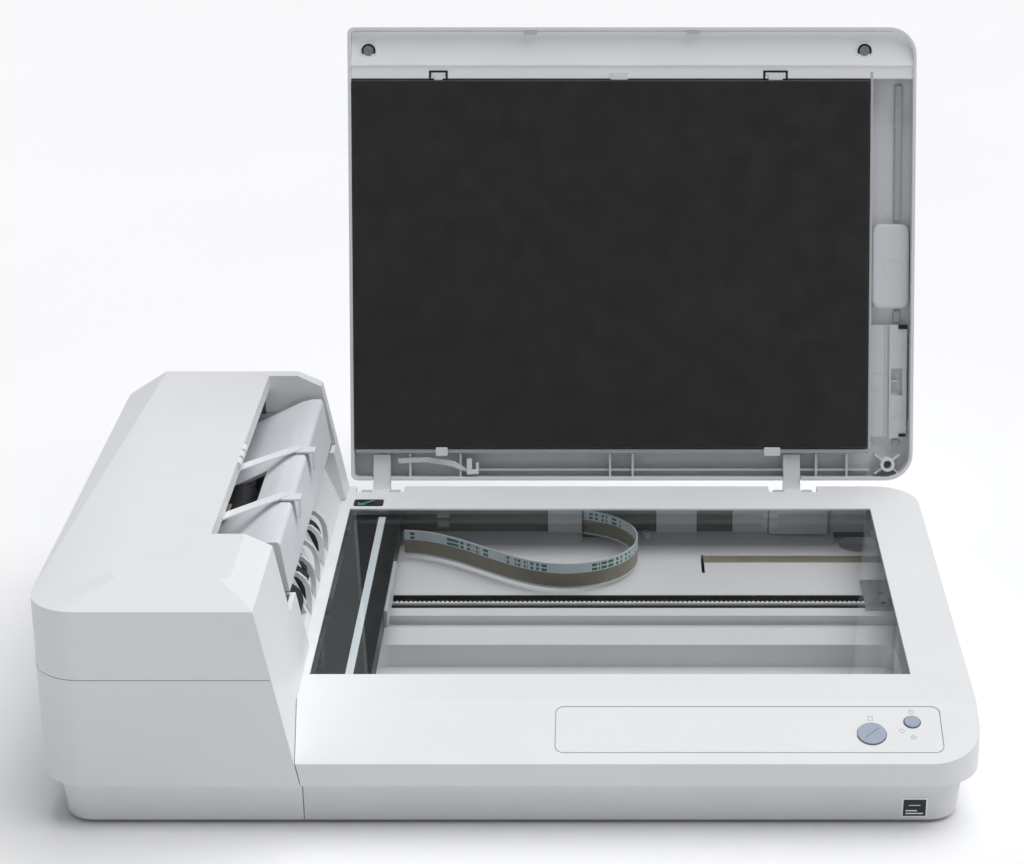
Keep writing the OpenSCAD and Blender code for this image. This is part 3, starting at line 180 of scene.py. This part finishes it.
# White covers look soft and even; the inner greys are plain and a little glossier; the guide and the
# strip are smooth, so they are drawn without grain; buttons and lenses are the glossiest.
finish_of = {
    "white_case": moulded("abs_white_fine_grain", "#E6E7E9", "#E9EAEC", 0.48),
    "grey_case": moulded("abs_pale_grey_fine_grain", "#DFE0E3", "#E3E4E7", 0.5),
    # This white is lighter than the covers' white. On the lid's strip it is painted light that makes up for
    # the shade there; on the front label's border it is the label's own white.
    "strip_white": moulded("abs_white_polished_label_and_painted_light", "#F6F7F9", "#F9FAFB", 0.36, 5, 0, 0.5),
    "inner_grey": moulded("abs_inner_grey_plain", "#BFC4C8", "#C6CBCF", 0.42, 5, 0),
    "white_guide": moulded("acetal_white_smooth", "#DDE1E6", "#E4E7EB", 0.42, 60, 0, 0.4),
    "button_plastic": moulded("abs_button_grey_blue", "#8A96A8", "#93A0B2", 0.32, 1.2, 0.004, 0.6),
    "black_plastic": moulded("abs_black_plain", "#16171A", "#1E2023", 0.42, 20, 0),
    "gear_plastic": moulded("acetal_natural_ivory", "#DED9C6", "#E6E1CF", 0.36, 1.5, 0.005),
    "tan_plate": moulded("polyester_tan_sheet", "#A39884", "#AEA38F", 0.4, 1.0, 0.006),
    "sensor_white": moulded("acrylic_light_guide", "#DCE6EC", "#E8F0F4", 0.16, 4, 0.003, 0.6),
    "lamp_lens": moulded("acrylic_lamp_lens", "#B9C2CC", "#C6CED6", 0.14, 4, 0.002, 0.6),
}
print("moulded finishes:", sorted(finish_of))

# %% [markdown]
# ## Glass, metal, rubber, foam and film
# Float glass is nearly clear and shows mostly as reflections and a faint green cast. Steel is bright
# zinc plated sheet or ground bar. The rollers are ground rubber, the pad is black backed film.

# %% Glass
# Seen square on it almost vanishes; towards a grazing angle it turns to a mirror.
material, tree, bsdf, place = new_material("float_glass_clear", Roughness=0.02, Metallic=1.0)
bsdf.inputs["Base Color"].default_value = linear("#E4EEEC")
grazing = add(tree, "ShaderNodeLayerWeight", {"Blend": 0.5}).outputs["Facing"]
steep = add(tree, "ShaderNodeMath", {0: grazing, 1: 5.0}, operation="POWER").outputs["Value"]
smears = spread(tree, noise(tree, place, 60, 3), 0.03, 0.045)
cover = add(tree, "ShaderNodeMath", {0: steep, 1: smears}, operation="ADD", use_clamp=True)
tree.links.new(cover.outputs["Value"], bsdf.inputs["Alpha"])
finish_of["clear_glass"] = material


# %% Metals
def metal(name, first, second, roughness, along=(1, 1, 1), depth_mm=0.006):
    """Metal with fine marks; along stretches them, as brushing or grinding does."""
    material, tree, bsdf, place = new_material(name, Metallic=1.0)
    run = add(tree, "ShaderNodeMapping", {"Vector": place, "Scale": along}).outputs["Vector"]
    marks = noise(tree, run, 0.8, 4)
    tree.links.new(tint(tree, spread(tree, noise(tree, place, 9, 2), 0, 1), first, second),
                   bsdf.inputs["Base Color"])
    tree.links.new(spread(tree, marks, roughness - 0.08, roughness + 0.1), bsdf.inputs["Roughness"])
    relief(tree, bsdf, (marks, depth_mm))
    return material


# Plated sheet has a dull streaky shine, a ground bar a sharper one round it, cut brass a warm one.
finish_of["sheet_steel"] = metal("steel_sheet_zinc_plated", "#B4B7BA", "#C3C6C8", 0.34, (1, 0.1, 1))
finish_of["turned_steel"] = metal("steel_bar_ground", "#BDBFC1", "#CBCDCE", 0.24, (1, 8, 1))
finish_of["brass"] = metal("brass_cut", "#C9A24E", "#D6B362", 0.3)


# %% Rubbers, pad and film
def soft_black(name, first, second, roughness, grain_mm, depth_mm, sheen=0.0):
    material, tree, bsdf, place = new_material(name)
    bsdf.inputs["Sheen Weight"].default_value = sheen
    patches, grain = noise(tree, place, 14, 3), noise(tree, place, grain_mm, 3)
    tree.links.new(tint(tree, spread(tree, patches, 0, 1), first, second), bsdf.inputs["Base Color"])
    tree.links.new(spread(tree, patches, roughness - 0.07, roughness + 0.07), bsdf.inputs["Roughness"])
    relief(tree, bsdf, (grain, depth_mm))
    return material


# Ground rubber is dead black, moulded feet are greyer, and the pad's film shows a faint wide sheen.
finish_of["roller_rubber"] = soft_black("rubber_ground_black", "#1B1B1C", "#26262A", 0.55, 0.5, 0.02)
finish_of["foot_rubber"] = soft_black("rubber_moulded_grey", "#3A3B3D", "#434446", 0.7, 0.8, 0.02)
finish_of["pad_black"] = soft_black("film_black_on_foam", "#262624", "#2B2A28", 0.36, 2.2, 0.006)
finish_of["belt_rubber"] = soft_black("urethane_belt_white", "#DEDFDD", "#E8E9E7", 0.5, 0.8, 0.01)
# The back wall's dark taupe is painted shade: it stands for the deep shade between the flatbed's columns.
finish_of["shaded_wall"] = soft_black("abs_taupe_painted_shade", "#66665F", "#706F68", 0.6, 1.2, 0.006)
finish_of["brown_tape"] = soft_black("polyester_brown_tape", "#857E6C", "#94907E", 0.4, 0.9, 0.01)
finish_of["dark_label"] = soft_black("polyester_label_black", "#15171A", "#1B1E20", 0.3, 3, 0.002)
finish_of["print_grey"] = soft_black("ink_print_blue_grey", "#98A2AD", "#A2ABB5", 0.5, 3, 0.001)
finish_of["print_green"] = soft_black("ink_print_green", "#3E8F72", "#479A7C", 0.5, 3, 0.001)
finish_of["board_green"] = soft_black("glass_epoxy_board_green", "#1F5A35", "#27683F", 0.35, 1.5, 0.01)


# %% [markdown]
# The flat cable is bluish white film with a brown tape along its lower half. Green marks that stand
# for its print are short dashes in two rows; they spell nothing. The bands are chosen by height.

# %% Flat cable
material, tree, bsdf, place = new_material("polyester_flat_cable", Roughness=0.34)
height = add(tree, "ShaderNodeSeparateXYZ", {"Vector": place})
along = add(tree, "ShaderNodeMapping", {"Vector": place, "Scale": (1, 0.6, 0)}).outputs["Vector"]
dashes = noise(tree, along, 1.5, 0)
groups = noise(tree, along, 26, 0)
film = tint(tree, spread(tree, noise(tree, place, 12, 2), 0, 1), "#C9D6DE", "#D5E0E6")
tape = tint(tree, spread(tree, noise(tree, place, 0.8, 3), 0, 1), "#7E7868", "#938D7B")


def above(tree, value, limit_mm):
    """One where a length is over a limit in millimetres, zero below it."""
    return add(tree, "ShaderNodeMath", {0: value, 1: limit_mm * MM}, operation="GREATER_THAN").outputs[0]


def product(tree, *values):
    """The product of several masks."""
    total = values[0]
    for value in values[1:]:
        total = add(tree, "ShaderNodeMath", {0: total, 1: value}, operation="MULTIPLY").outputs[0]
    return total


rise = height.outputs["Z"]
rows = [add(tree, "ShaderNodeMath", {0: above(tree, rise, low), 1: above(tree, rise, low + 1.6)},
            operation="SUBTRACT").outputs[0] for low in (36.2, 38.7)]
either = add(tree, "ShaderNodeMath", {0: rows[0], 1: rows[1]}, operation="ADD").outputs[0]
marks = product(tree, either,
                add(tree, "ShaderNodeMath", {0: dashes, 1: 0.49}, operation="GREATER_THAN").outputs[0],
                add(tree, "ShaderNodeMath", {0: groups, 1: 0.43}, operation="GREATER_THAN").outputs[0])
printed = add(tree, "ShaderNodeMix", {"Factor": marks}, data_type="RGBA")
tree.links.new(film, printed.inputs["A"])
printed.inputs["B"].default_value = linear("#3F7463")
band = add(tree, "ShaderNodeMath", {0: above(tree, rise, 27.6), 1: above(tree, rise, 35.6)},
           operation="SUBTRACT").outputs[0]
banded = add(tree, "ShaderNodeMix", {"Factor": band}, data_type="RGBA")
tree.links.new(printed.outputs["Result"], banded.inputs["A"])
tree.links.new(tape, banded.inputs["B"])
tree.links.new(banded.outputs["Result"], bsdf.inputs["Base Color"])
finish_of["flat_cable"] = material

# %% [markdown]
# ## Every CAD node takes its finish
# The record gives each node the slot of its finish. Nodes that get no rounded copy, such as gears,
# plates and sockets, are seen as they come from the CAD, flat shaded and in the right material.

# %% All CAD nodes take their finish
for name, node in frame["nodes"].items():
    node.data.materials.clear()
    node.data.materials.append(finish_of[slot_of[name]])
    for polygon in node.data.polygons:
        polygon.use_smooth = False
print("finishes:", len(finish_of))

# %% [markdown]
# ## The table under the scanner
# The table is one wide matt sheet. It is staging only.

# %% Floor
bm = bmesh.new()
bmesh.ops.create_grid(bm, x_segments=1, y_segments=1, size=6)
floor_mesh = bpy.data.meshes.new("floor")
bm.to_mesh(floor_mesh)
bm.free()
floor = bpy.data.objects.new("floor", floor_mesh)
bpy.context.scene.collection.objects.link(floor)
material, tree, bsdf, place = new_material("matt_white_table", Roughness=0.9)
tree.links.new(tint(tree, spread(tree, noise(tree, place, 400, 2), 0, 1), "#F7F7F8", "#F9F9FA"),
               bsdf.inputs["Base Color"])
floor.data.materials.append(material)


# %% [markdown]
# ## Rounding the moulded edges
# A moulded cover has no sharp outer edge: the tool was cut with small radii. The CAD shells are sharp,
# so each is copied, its loose triangles are merged into whole faces, and the edges are rounded with
# the bevel operator. A choice of edges and a radius make one step, so a crease can be softer than a
# slot's rim.

# %% Helpers for pieces
def weighted_normals(mesh, smooth_deg):
    """Shades each corner by the largest faces round it, so flat faces stay flat up to their edge."""
    limit = math.cos(math.radians(smooth_deg))
    around = [[] for vertex in mesh.vertices]
    for face in mesh.polygons:
        for index in face.vertices:
            around[index].append((face.normal.copy(), face.area))
    normals = []
    for face in mesh.polygons:
        for index in face.vertices:
            near = [normal * area for normal, area in around[index] if normal.dot(face.normal) > limit]
            normals.append(sum(near, Vector()).normalized())
    mesh.normals_split_custom_set(normals)


def finish_piece(bm, name, body, finish, smooth_deg=32):
    """Turns a bmesh into a shaded object that rides on a body, or on none yet."""
    mesh = bpy.data.meshes.new(name)
    bm.to_mesh(mesh)
    bm.free()
    piece = bpy.data.objects.new(name, mesh)
    bpy.context.scene.collection.objects.link(piece)
    piece.data.materials.append(finish_of.get(finish) or finish)
    mesh.shade_smooth()
    mesh.set_sharp_from_angle(angle=math.radians(smooth_deg))
    weighted_normals(mesh, smooth_deg)
    if body:
        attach(piece, body)
    return piece


def merged_copy(node):
    """A CAD node's shape with its loose triangles merged into whole flat faces."""
    bm = bmesh.new()
    bm.from_mesh(frame["nodes"][node].data)
    bmesh.ops.remove_doubles(bm, verts=bm.verts, dist=0.004 * MM)
    bmesh.ops.dissolve_degenerate(bm, edges=bm.edges, dist=0.002 * MM)
    bmesh.ops.dissolve_limit(bm, angle_limit=math.radians(1.2), verts=bm.verts, edges=bm.edges)
    return bm


def bends(edge):
    """Angle of an edge in degrees, positive where it stands out and negative in a corner."""
    if len(edge.link_faces) != 2:
        return 0.0
    return math.degrees(edge.calc_face_angle_signed(0.0))


def round_edges(bm, radius_mm, choose, segments=3, least_deg=25):
    """Rounds the outer edges that choose picks by their middle point, in millimetres."""
    bm.edges.ensure_lookup_table()
    picked = []
    for edge in bm.edges:
        middle = (edge.verts[0].co + edge.verts[1].co) / 2 / MM
        if bends(edge) > least_deg and choose(middle, edge):
            picked.append(edge)
    if picked:
        bmesh.ops.bevel(bm, geom=picked, offset=radius_mm * MM, offset_type="OFFSET",
                        segments=segments, profile=0.5, affect="EDGES", clamp_overlap=True,
                        material=-1, loop_slide=True, miter_outer="ARC")
    return len(picked)


def rounded_node(node, *steps, least_deg=25):
    """A rounded copy of a CAD node; a step is a radius and a choice of edges."""
    bm = merged_copy(node)
    counts = [round_edges(bm, radius, choose, least_deg=least_deg) for radius, choose in steps]
    piece = finish_piece(bm, node + "_rounded", body_of[node], slot_of[node])
    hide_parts(node)
    print(node, "edges rounded:", counts, "faces:", len(piece.data.polygons))
    return piece


# %% Casing
def everywhere(p, edge):
    return True


def outer_skin(p, edge):
    """Edges on the outside of the base or the feeder, not those of the hollow inside."""
    return max(abs(p.x) - 222, abs(p.y) - 156, p.z - 119) > 0 or p.z > 47


rounded_node("top_frame", (1.6, outer_skin))
rounded_node("feeder_cover", (1.6, outer_skin), least_deg=12)
rounded_node("feeder_case", (1.0, outer_skin))
rounded_node("lower_case", (0.8, lambda p, e: p.z < 4 or p.z > 22))
rounded_node("lid_shell", (1.2, everywhere))
rounded_node("document_pad", (0.8, everywhere))
rounded_node("panel_plate", (0.4, everywhere))
for node in ("scan_button", "power_button"):
    rounded_node(node, (0.5, everywhere))
for node in ("chute_guide", "exit_fins", "hold_down_strips", "input_chute", "lid_hinges",
             "hinge_blocks", "front_side_guide", "rear_side_guide"):
    rounded_node(node, (0.4, everywhere))

# %% [markdown]
# ## The flat cable
# The cable bends as the carriage moves. Its copy is shaded smooth along its bends, rides on no body
# here, and has its place baked into its shape.

# %% Flat cable's copy
cable = finish_piece(merged_copy("ribbon_cable"), "flat_cable_run", None, "flat_cable", 50)
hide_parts("ribbon_cable")
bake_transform(cable)

# %% [markdown]
# ## Small shapes that many pieces share
# Most small moulded features are boxes, rods, or one profile drawn out along a line, with their edges
# rounded. Four short helpers make those with bmesh operators, so the cells below can say where each
# feature is and how big it is. Features of the lid are drawn on the closed lid, where its frame is
# level, and are then turned to where the open lid stands.

# %% Helpers for small shapes
def box(bm, low, high, corner_mm=0.0, edge_mm=0.0, steps=4):
    """A box between two corners in millimetres, with round upright corners and softened edges."""
    low, high = Vector(low) * MM, Vector(high) * MM
    size = high - low
    place = Matrix.Translation((low + high) / 2) @ Matrix.Diagonal((*size, 1))
    verts = bmesh.ops.create_cube(bm, size=1, matrix=place)["verts"]
    faces = {f for v in verts for f in v.link_faces}
    if corner_mm:
        edges = {e for f in faces for e in f.edges}
        upright = [e for e in edges if abs(e.verts[0].co.z - e.verts[1].co.z) > size.z / 2]
        out = bmesh.ops.bevel(bm, geom=upright, offset=corner_mm * MM, segments=steps, profile=0.5,
                              affect="EDGES", clamp_overlap=True, material=-1)
        verts = list({v for v in verts if v.is_valid} | set(out["verts"]))
        faces = {f for v in verts for f in v.link_faces}
    if edge_mm:
        edges = [e for e in {e for f in faces for e in f.edges} if bends(e) > 50]
        bmesh.ops.bevel(bm, geom=edges, offset=edge_mm * MM, segments=3, profile=0.5,
                        affect="EDGES", clamp_overlap=True, material=-1)


def turned_boxes(bm, centre, turns_deg, low, high):
    """The same box set round a centre in millimetres, once at each angle."""
    for turn in turns_deg:
        before = set(bm.verts)
        box(bm, low, high)
        made = [v for v in bm.verts if v not in before]
        place = Matrix.Translation(Vector((*centre, 0)) * MM)
        bmesh.ops.transform(bm, verts=made, matrix=place @ Matrix.Rotation(math.radians(turn), 4, "Z"))


def rod(bm, start, end, radius_mm, sides=32):
    """A round rod between two points in millimetres."""
    start, end = Vector(start) * MM, Vector(end) * MM
    run = end - start
    place = Matrix.Translation((start + end) / 2) @ run.to_track_quat("Z", "Y").to_matrix().to_4x4()
    bmesh.ops.create_cone(bm, cap_ends=True, segments=sides, radius1=radius_mm * MM,
                          radius2=radius_mm * MM, depth=run.length, matrix=place)


def ring(bm, centre, inner_mm, outer_mm, low_mm, high_mm, sides=40):
    """A flat ring about Z: one square cross-section spun a full turn."""
    x, y = centre[0] * MM, centre[1] * MM
    corners = [bm.verts.new((x + r * MM, y, z * MM)) for r, z in
               ((inner_mm, low_mm), (outer_mm, low_mm), (outer_mm, high_mm), (inner_mm, high_mm))]
    loop = [bm.edges.new((corners[i], corners[(i + 1) % 4])) for i in range(4)]
    bmesh.ops.spin(bm, geom=corners + loop, cent=(x, y, 0), axis=(0, 0, 1), steps=sides,
                   angle=math.tau, use_merge=True, use_normal_flip=False, use_duplicate=False)


def drawn_out(bm, points, along):
    """A profile of points in millimetres, closed to a face and drawn out by a vector."""
    face = bm.faces.new([bm.verts.new(Vector(p) * MM) for p in points])
    out = bmesh.ops.extrude_face_region(bm, geom=[face])
    moved = [v for v in out["geom"] if isinstance(v, bmesh.types.BMVert)]
    bmesh.ops.translate(bm, verts=moved, vec=Vector(along) * MM)


def placed_piece(bm, name, body, finish, place=None, stands_for=None, smooth_deg=32):
    """Makes the normals point out, turns the shape to its place, and makes the piece."""
    bmesh.ops.remove_doubles(bm, verts=bm.verts, dist=0.001 * MM)
    bmesh.ops.recalc_face_normals(bm, faces=bm.faces)
    if place:
        bmesh.ops.transform(bm, matrix=place, verts=bm.verts)
    piece = finish_piece(bm, name, body, finish, smooth_deg)
    if stands_for:
        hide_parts(*([stands_for] if isinstance(stands_for, str) else stands_for))
    print(name, "faces:", len(piece.data.polygons))
    return piece


lid_axis = Vector((0, 155, 46)) * MM
lid_stands = (Matrix.Translation(lid_axis) @ Matrix.Rotation(math.radians(-105.7), 4, "X")
              @ Matrix.Translation(-lid_axis))


# %% [markdown]
# ## Inside the flatbed
# Seen through the glass, the back wall is in deep shade between paler columns. That shade is painted:
# the wall and its columns are separate pieces, and the wall takes a dark taupe finish. A flat brown lead
# lies in the deck's long seat and dives into a slit. The toothed belt stands a little out of its channel,
# so that it reads as white.

# %% Back wall, columns, lead and belt
bm = bmesh.new()
box(bm, (-81.5, 146.9, 24), (199.5, 148.5, 43.8))
placed_piece(bm, "back_wall_inside", "base", "shaded_wall", stands_for="rear_rib_wall")
bm = bmesh.new()
columns = ((11.5, 19.6, 2.2, 0.2), (74.5, 23.5, 2.0, 0.2), (118.9, 20.5, 2.0, 0.2),
           (139.9, 35.0, 4.5, 2.0), (175.2, 21.5, 1.0, 0.2))
for x, wide, deep, round_mm in columns:
    box(bm, (x, 146.9 - deep, 27.6), (x + wide, 147.4, 43.8), round_mm, 0.2)
for x in (11.5, 29.9):
    box(bm, (x, 143.6, 27.6), (x + 1.2, 146, 43.8))
slope = ((147.2, 24.01), (134.5, 24.01), (145.5, 27.6), (147.2, 27.8))
for x, length in ((-81.5, 113), (58.5, 119.3)):
    drawn_out(bm, [(x, y, z) for y, z in slope], (length, 0, 0))
rod(bm, (68.5, 142, 24), (68.5, 142, 29.5), 2.3, 24)
placed_piece(bm, "back_columns", "base", "inner_grey")
bm = bmesh.new()
box(bm, (101.0, 109.9, 23.35), (202.6, 119.3, 23.75), 0, 0.1)
placed_piece(bm, "flat_lead", "base", "brown_tape")
bm = bmesh.new()
belt_x, teeth, pitch = -130.6, 130, 0.8 * math.pi
box(bm, (belt_x, 49.1, 20.4), (belt_x + teeth * pitch, 50.2, 26.1))
strip = set(bm.verts)
box(bm, (belt_x, 50.1, 20.4), (belt_x + 0.55 * pitch, 51.7, 26.1), 0.2)
tooth = [v for v in bm.verts if v not in strip]
for count in range(1, teeth):
    copy = bmesh.ops.duplicate(bm, geom=list({f for v in tooth for f in v.link_faces}))
    made = [v for v in copy["geom"] if isinstance(v, bmesh.types.BMVert)]
    bmesh.ops.translate(bm, verts=made, vec=Vector((count * pitch, 0, 0)) * MM)
placed_piece(bm, "toothed_belt", "base", "belt_rubber", stands_for="drive_belt")

# %% [markdown]
# ## Printed marks and labels
# The panel's marks are ink laid on the plastic: a page over the scan button, a power sign over the
# power button and a diamond beside the lamp. The page corner carries a dark label with a green arrow,
# and the front a small dark label in a white border with a plain pattern. Ink is drawn 0.03 mm thick.

# %% Marks on the panel
slope_stands = (Matrix.Translation(Vector((0, -120, 51)) * MM)
                @ Matrix.Rotation(math.radians(19.7), 4, "X"))
bm = bmesh.new()
ring(bm, (192.9, -7.9), 1.05, 1.3, 0.0, 0.03)
box(bm, (192.78, -8.0, 0.0), (193.02, -6.2, 0.04))
ring(bm, (187.6, -20.4), 1.25, 1.6, 0.0, 0.03, sides=4)
for low, high in (((171.9, -13.9), (174.1, -13.65)), ((171.9, -11.0), (174.1, -10.75)),
                  ((171.9, -13.9), (172.15, -10.75)), ((173.85, -13.9), (174.1, -10.75))):
    box(bm, (*low, 0.0), (*high, 0.03))
placed_piece(bm, "panel_marks", "base", "print_grey", slope_stands)

# %% Labels
front_stands = (Matrix.Translation(Vector((187.5, -150, 2)) * MM)
                @ Matrix.Rotation(math.atan2(2.5, 23), 4, "X"))
bm = bmesh.new()
box(bm, (0, -0.23, 1.5), (12.5, -0.03, 12.5), 0, 0.05)
for low, high in (((2.0, 3.4), (10.5, 4.1)), ((2.0, 5.0), (7.5, 5.7)), ((3.4, 8.2), (9.1, 8.6))):
    box(bm, (low[0], -0.27, low[1]), (high[0], -0.2, high[1]))
placed_piece(bm, "front_label_border", "base", "strip_white", front_stands, stands_for="front_label")
bm = bmesh.new()
box(bm, (0.8, -0.25, 2.3), (11.7, -0.1, 11.7))
placed_piece(bm, "front_label_face", "base", "dark_label", front_stands)
bm = bmesh.new()
arrow = [(-97.6, 129.6), (-92.6, 129.6), (-94.2, 131.2), (-88.0, 136.6), (-89.2, 137.8), (-95.6, 132.4),
         (-97.6, 134.4)]
drawn_out(bm, [(x, y, 51.19) for x, y in arrow], (0, 0, 0.04))
placed_piece(bm, "page_corner_arrow", "base", "print_green")

# %% [markdown]
# ## The lid's strip, liner and pad frame
# Beyond the pad the lid has a hollow curved strip, one screw at each end, and a lower step where the
# pad's latches hook in. The liner behind the pad is a flat plate with a thin bright rim at the right
# and at the hinge side. The strip is one profile drawn out along the lid, and its far corner follows
# the lid's round corner by a row of plane cuts.

# %% Strip and liner
bm = bmesh.new()
curve = [(-115.3 + 19.4 * t, 56.4 + 0.9 * math.sin(math.pi * t) - 3.7 * t)
         for t in [i / 12 for i in range(13)]]
profile = [(-115.3, 57.9)] + curve + [(-95.2, 53.7), (-88.1, 53.1), (-87.9, 57.9)]
drawn_out(bm, [(-102.3, y, z) for y, z in profile], (325.5, 0, 0))
corner = 13.6                    # radius of the lid's round corner, inside its wall
for degrees in range(8, 90, 15):
    out = Vector((math.cos(math.radians(degrees)), -math.sin(math.radians(degrees)), 0))
    touch = (Vector((223.2 - corner, -115.3 + corner, 55)) + out * corner) * MM
    cut = bmesh.ops.bisect_plane(bm, geom=bm.verts[:] + bm.edges[:] + bm.faces[:], plane_co=touch,
                                 plane_no=out, clear_outer=True)
    rim = [e for e in cut["geom_cut"] if isinstance(e, bmesh.types.BMEdge)]
    bmesh.ops.edgenet_fill(bm, edges=rim)
placed_piece(bm, "lid_strip", "lid", "strip_white", lid_stands, smooth_deg=25)

bm = bmesh.new()
box(bm, (-102.0, -94, 56.3), (200.0, 130.3, 57.9), 1)
box(bm, (198.5, -92, 52.9), (200.1, 130.3, 57.4), 0, 0.3)
box(bm, (-101.6, 127.5, 52.9), (200.0, 129.2, 57.4), 0, 0.3)
placed_piece(bm, "lid_liner_plate", "lid", "inner_grey", lid_stands, stands_for="lid_liner")

# %% [markdown]
# ## Screws, latches and clips on the lid
# Each screw sits in a well whose shade is painted: a black ring round the head stands for the shadow in
# the recess, and the head has a cross recess. The pad hangs on two hooks seen in black-edged windows,
# with a plain clip between them and two more at the hinge side.

# %% Screws
for side, x in (("left", -92.4), ("right", 195.0)):
    bm = bmesh.new()
    # A black ring: painted shade standing for the shadow in the screw's recess.
    ring(bm, (x, -104), 2.9, 4.2, 54.7, 56.9)
    placed_piece(bm, "screw_hole_painted_shade_" + side, "lid", "black_plastic", lid_stands)
    bm = bmesh.new()
    ring(bm, (x, -104), 4.15, 4.9, 54.3, 56.9)
    placed_piece(bm, "screw_rim_" + side, "lid", "white_case", lid_stands)
    bm = bmesh.new()
    ring(bm, (x, -104), 1.3, 2.9, 54.1, 56.9)
    turned_boxes(bm, (x, -104), (45, 135, 225, 315), (0.5, -0.55, 54.15), (1.6, 0.55, 56.5))
    rod(bm, (x, -104, 54.7), (x, -104, 56.9), 1.35)
    placed_piece(bm, "screw_head_" + side, "lid", "turned_steel", lid_stands,
                 stands_for="lid_fittings" if side == "left" else None)

# %% Latch windows and clips
windows = ((-57.3, -46.5), (136.3, 150.5))
bm = bmesh.new()
for x0, x1 in windows:
    box(bm, (x0, -92.6, 53.0), (x0 + 1.2, -87.2, 55))
    box(bm, (x1 - 1.2, -92.6, 53.0), (x1, -87.2, 55))
    box(bm, (x0, -92.6, 53.0), (x1, -91.5, 55))
placed_piece(bm, "latch_window_edges", "lid", "black_plastic", lid_stands)
bm = bmesh.new()
for x0, x1 in windows:
    box(bm, (x0 + 1.2, -91.5, 52.9), (x1 - 1.2, -89.6, 55), 0, 0.4)
    box(bm, (x0 + 3.0, -90.6, 52.3), (x1 - 3.0, -87.0, 53.6), 0.4, 0.3)
for x0, x1 in ((-54.6, -47.6), (137.6, 147.2)):
    box(bm, (x0, 126.4, 51.1), (x1, 131.4, 52.6), 0.8, 0.3)
box(bm, (46.9, -91.4, 53.1), (58.5, -90.6, 54.4), 0, 0.2)
box(bm, (47.6, -90.6, 52.6), (57.8, -87.2, 53.8), 0.5, 0.3)
placed_piece(bm, "pad_clips", "lid", "white_case", lid_stands)
bm = bmesh.new()
for x0, x1 in ((-2.4, 5.1), (92.0, 99.6)):
    box(bm, (x0, -115.4, 52.1), (x1, -113.3, 53.6), 0.4)
placed_piece(bm, "edge_notches", "lid", "inner_grey", lid_stands)

# %% [markdown]
# ## The lid's right side and the space by its hinges
# The lid is a shallow tray. At its right side the skin shows a soft raised block, a moulded panel with
# a latch window, a hollow screw boss held by four thin ribs, a long soft ridge, and the round marks of
# the tool's ejector pins. By the hinges there are stiffening ribs and a bent lever with a white clip.

# %% Tray features at the right
bm = bmesh.new()
box(bm, (200.3, -4, 57.6), (222.6, 45.4, 65.6), 5.5, 2.2, 6)
placed_piece(bm, "raised_block", "lid", "grey_case", lid_stands, smooth_deg=50)
bm = bmesh.new()
box(bm, (213.6, -85, 62.9), (218.2, -5.5, 65.6), 1.5, 1.3, 5)
box(bm, (213.6, 46.5, 62.9), (218.2, 54, 65.6), 1.5, 1.3, 5)
box(bm, (213.6, 122.6, 62.9), (218.2, 127, 65.6), 1.5, 1.3, 5)
placed_piece(bm, "soft_ridge", "lid", "inner_grey", lid_stands, smooth_deg=60)
bm = bmesh.new()
places = ((216.2, -64.9, 62.9), (212.6, -13.5, 65.2), (213.4, 22.1, 57.6), (218.6, 64, 59.3),
          (204.8, 88, 61.6), (217.6, 113.5, 59.3), (-60, 138, 65.2), (20, 137, 65.2), (110, 138, 65.2))
for x, y, z in places:
    ring(bm, (x, y), 5.0, 5.35, z - 0.18, z + 0.6)
placed_piece(bm, "ejector_marks", "lid", "grey_case", lid_stands)
bm = bmesh.new()
box(bm, (200.4, 55, 61.7), (211.6, 121.0, 65.6), 0.5, 0.4)
box(bm, (208.8, 55.4, 61.2), (209.8, 120.6, 62.4), 0, 0.3)
frame_bars = (((211.4, 55, 59.4), (212.6, 121.6, 65.6)), ((219.2, 56.5, 59.4), (221.8, 119.4, 65.6)),
              ((212.4, 55, 59.4), (219.4, 80.6, 65.6)), ((212.4, 96.4, 59.4), (219.4, 121.6, 65.6)))
for low, high in frame_bars:
    box(bm, low, high, 0, 0.35)
box(bm, (212.4, 80.4, 63.8), (219.4, 96.6, 65.6))
box(bm, (213.0, 87.6, 60.6), (216.2, 88.6, 64))
box(bm, (213.0, 95.2, 60.6), (216.2, 96.3, 64))
placed_piece(bm, "latch_panel", "lid", "grey_case", lid_stands)
bm = bmesh.new()
box(bm, (216.6, 54.8, 59.0), (221.9, 57.4, 60.2), 0.3)
box(bm, (217.2, 119.0, 59.0), (221.4, 120.8, 60.2), 0.3)
placed_piece(bm, "latch_panel_hooks", "lid", "black_plastic", lid_stands)
bm = bmesh.new()
ring(bm, (210.4, 136.8), 2.4, 4.1, 53.6, 65.4)
turned_boxes(bm, (210.4, 136.8), (38, 142, 218, 322), (3.8, -0.5, 56.4), (9.4, 0.5, 65.6))
placed_piece(bm, "lid_boss", "lid", "white_case", lid_stands)

# %% Ribs, lever and clip by the hinges
bm = bmesh.new()
for x in (-70.6, -41, 46.9, 60.2, 168, 186):
    box(bm, (x, 130.6, 56.6), (x + 1.3, 144.4, 65.6))
box(bm, (-30, 139.6, 58.6), (200, 140.8, 65.6))
placed_piece(bm, "hinge_side_ribs", "lid", "grey_case", lid_stands)
bm = bmesh.new()
drawn_out(bm, [(-77, 133.2, 55.6), (-60, 132.4, 55.6), (-44, 134.8, 55.6), (-36, 139.6, 55.6),
               (-36, 141.6, 55.6), (-46, 137.8, 55.6), (-61, 135.4, 55.6), (-77, 136.2, 55.6)], (0, 0, 3.2))
placed_piece(bm, "lid_lever", "lid", "grey_case", lid_stands)
bm = bmesh.new()
box(bm, (-36.6, 133.2, 53.6), (-33.6, 142.6, 60), 0.6, 0.3)
box(bm, (-36.6, 139.6, 53.4), (-29.8, 142.4, 56.4), 0.6, 0.3)
box(bm, (-31.2, 135.4, 53.6), (-29.6, 142.4, 57.4), 0.5, 0.3)
placed_piece(bm, "lever_clip", "lid", "white_case", lid_stands)
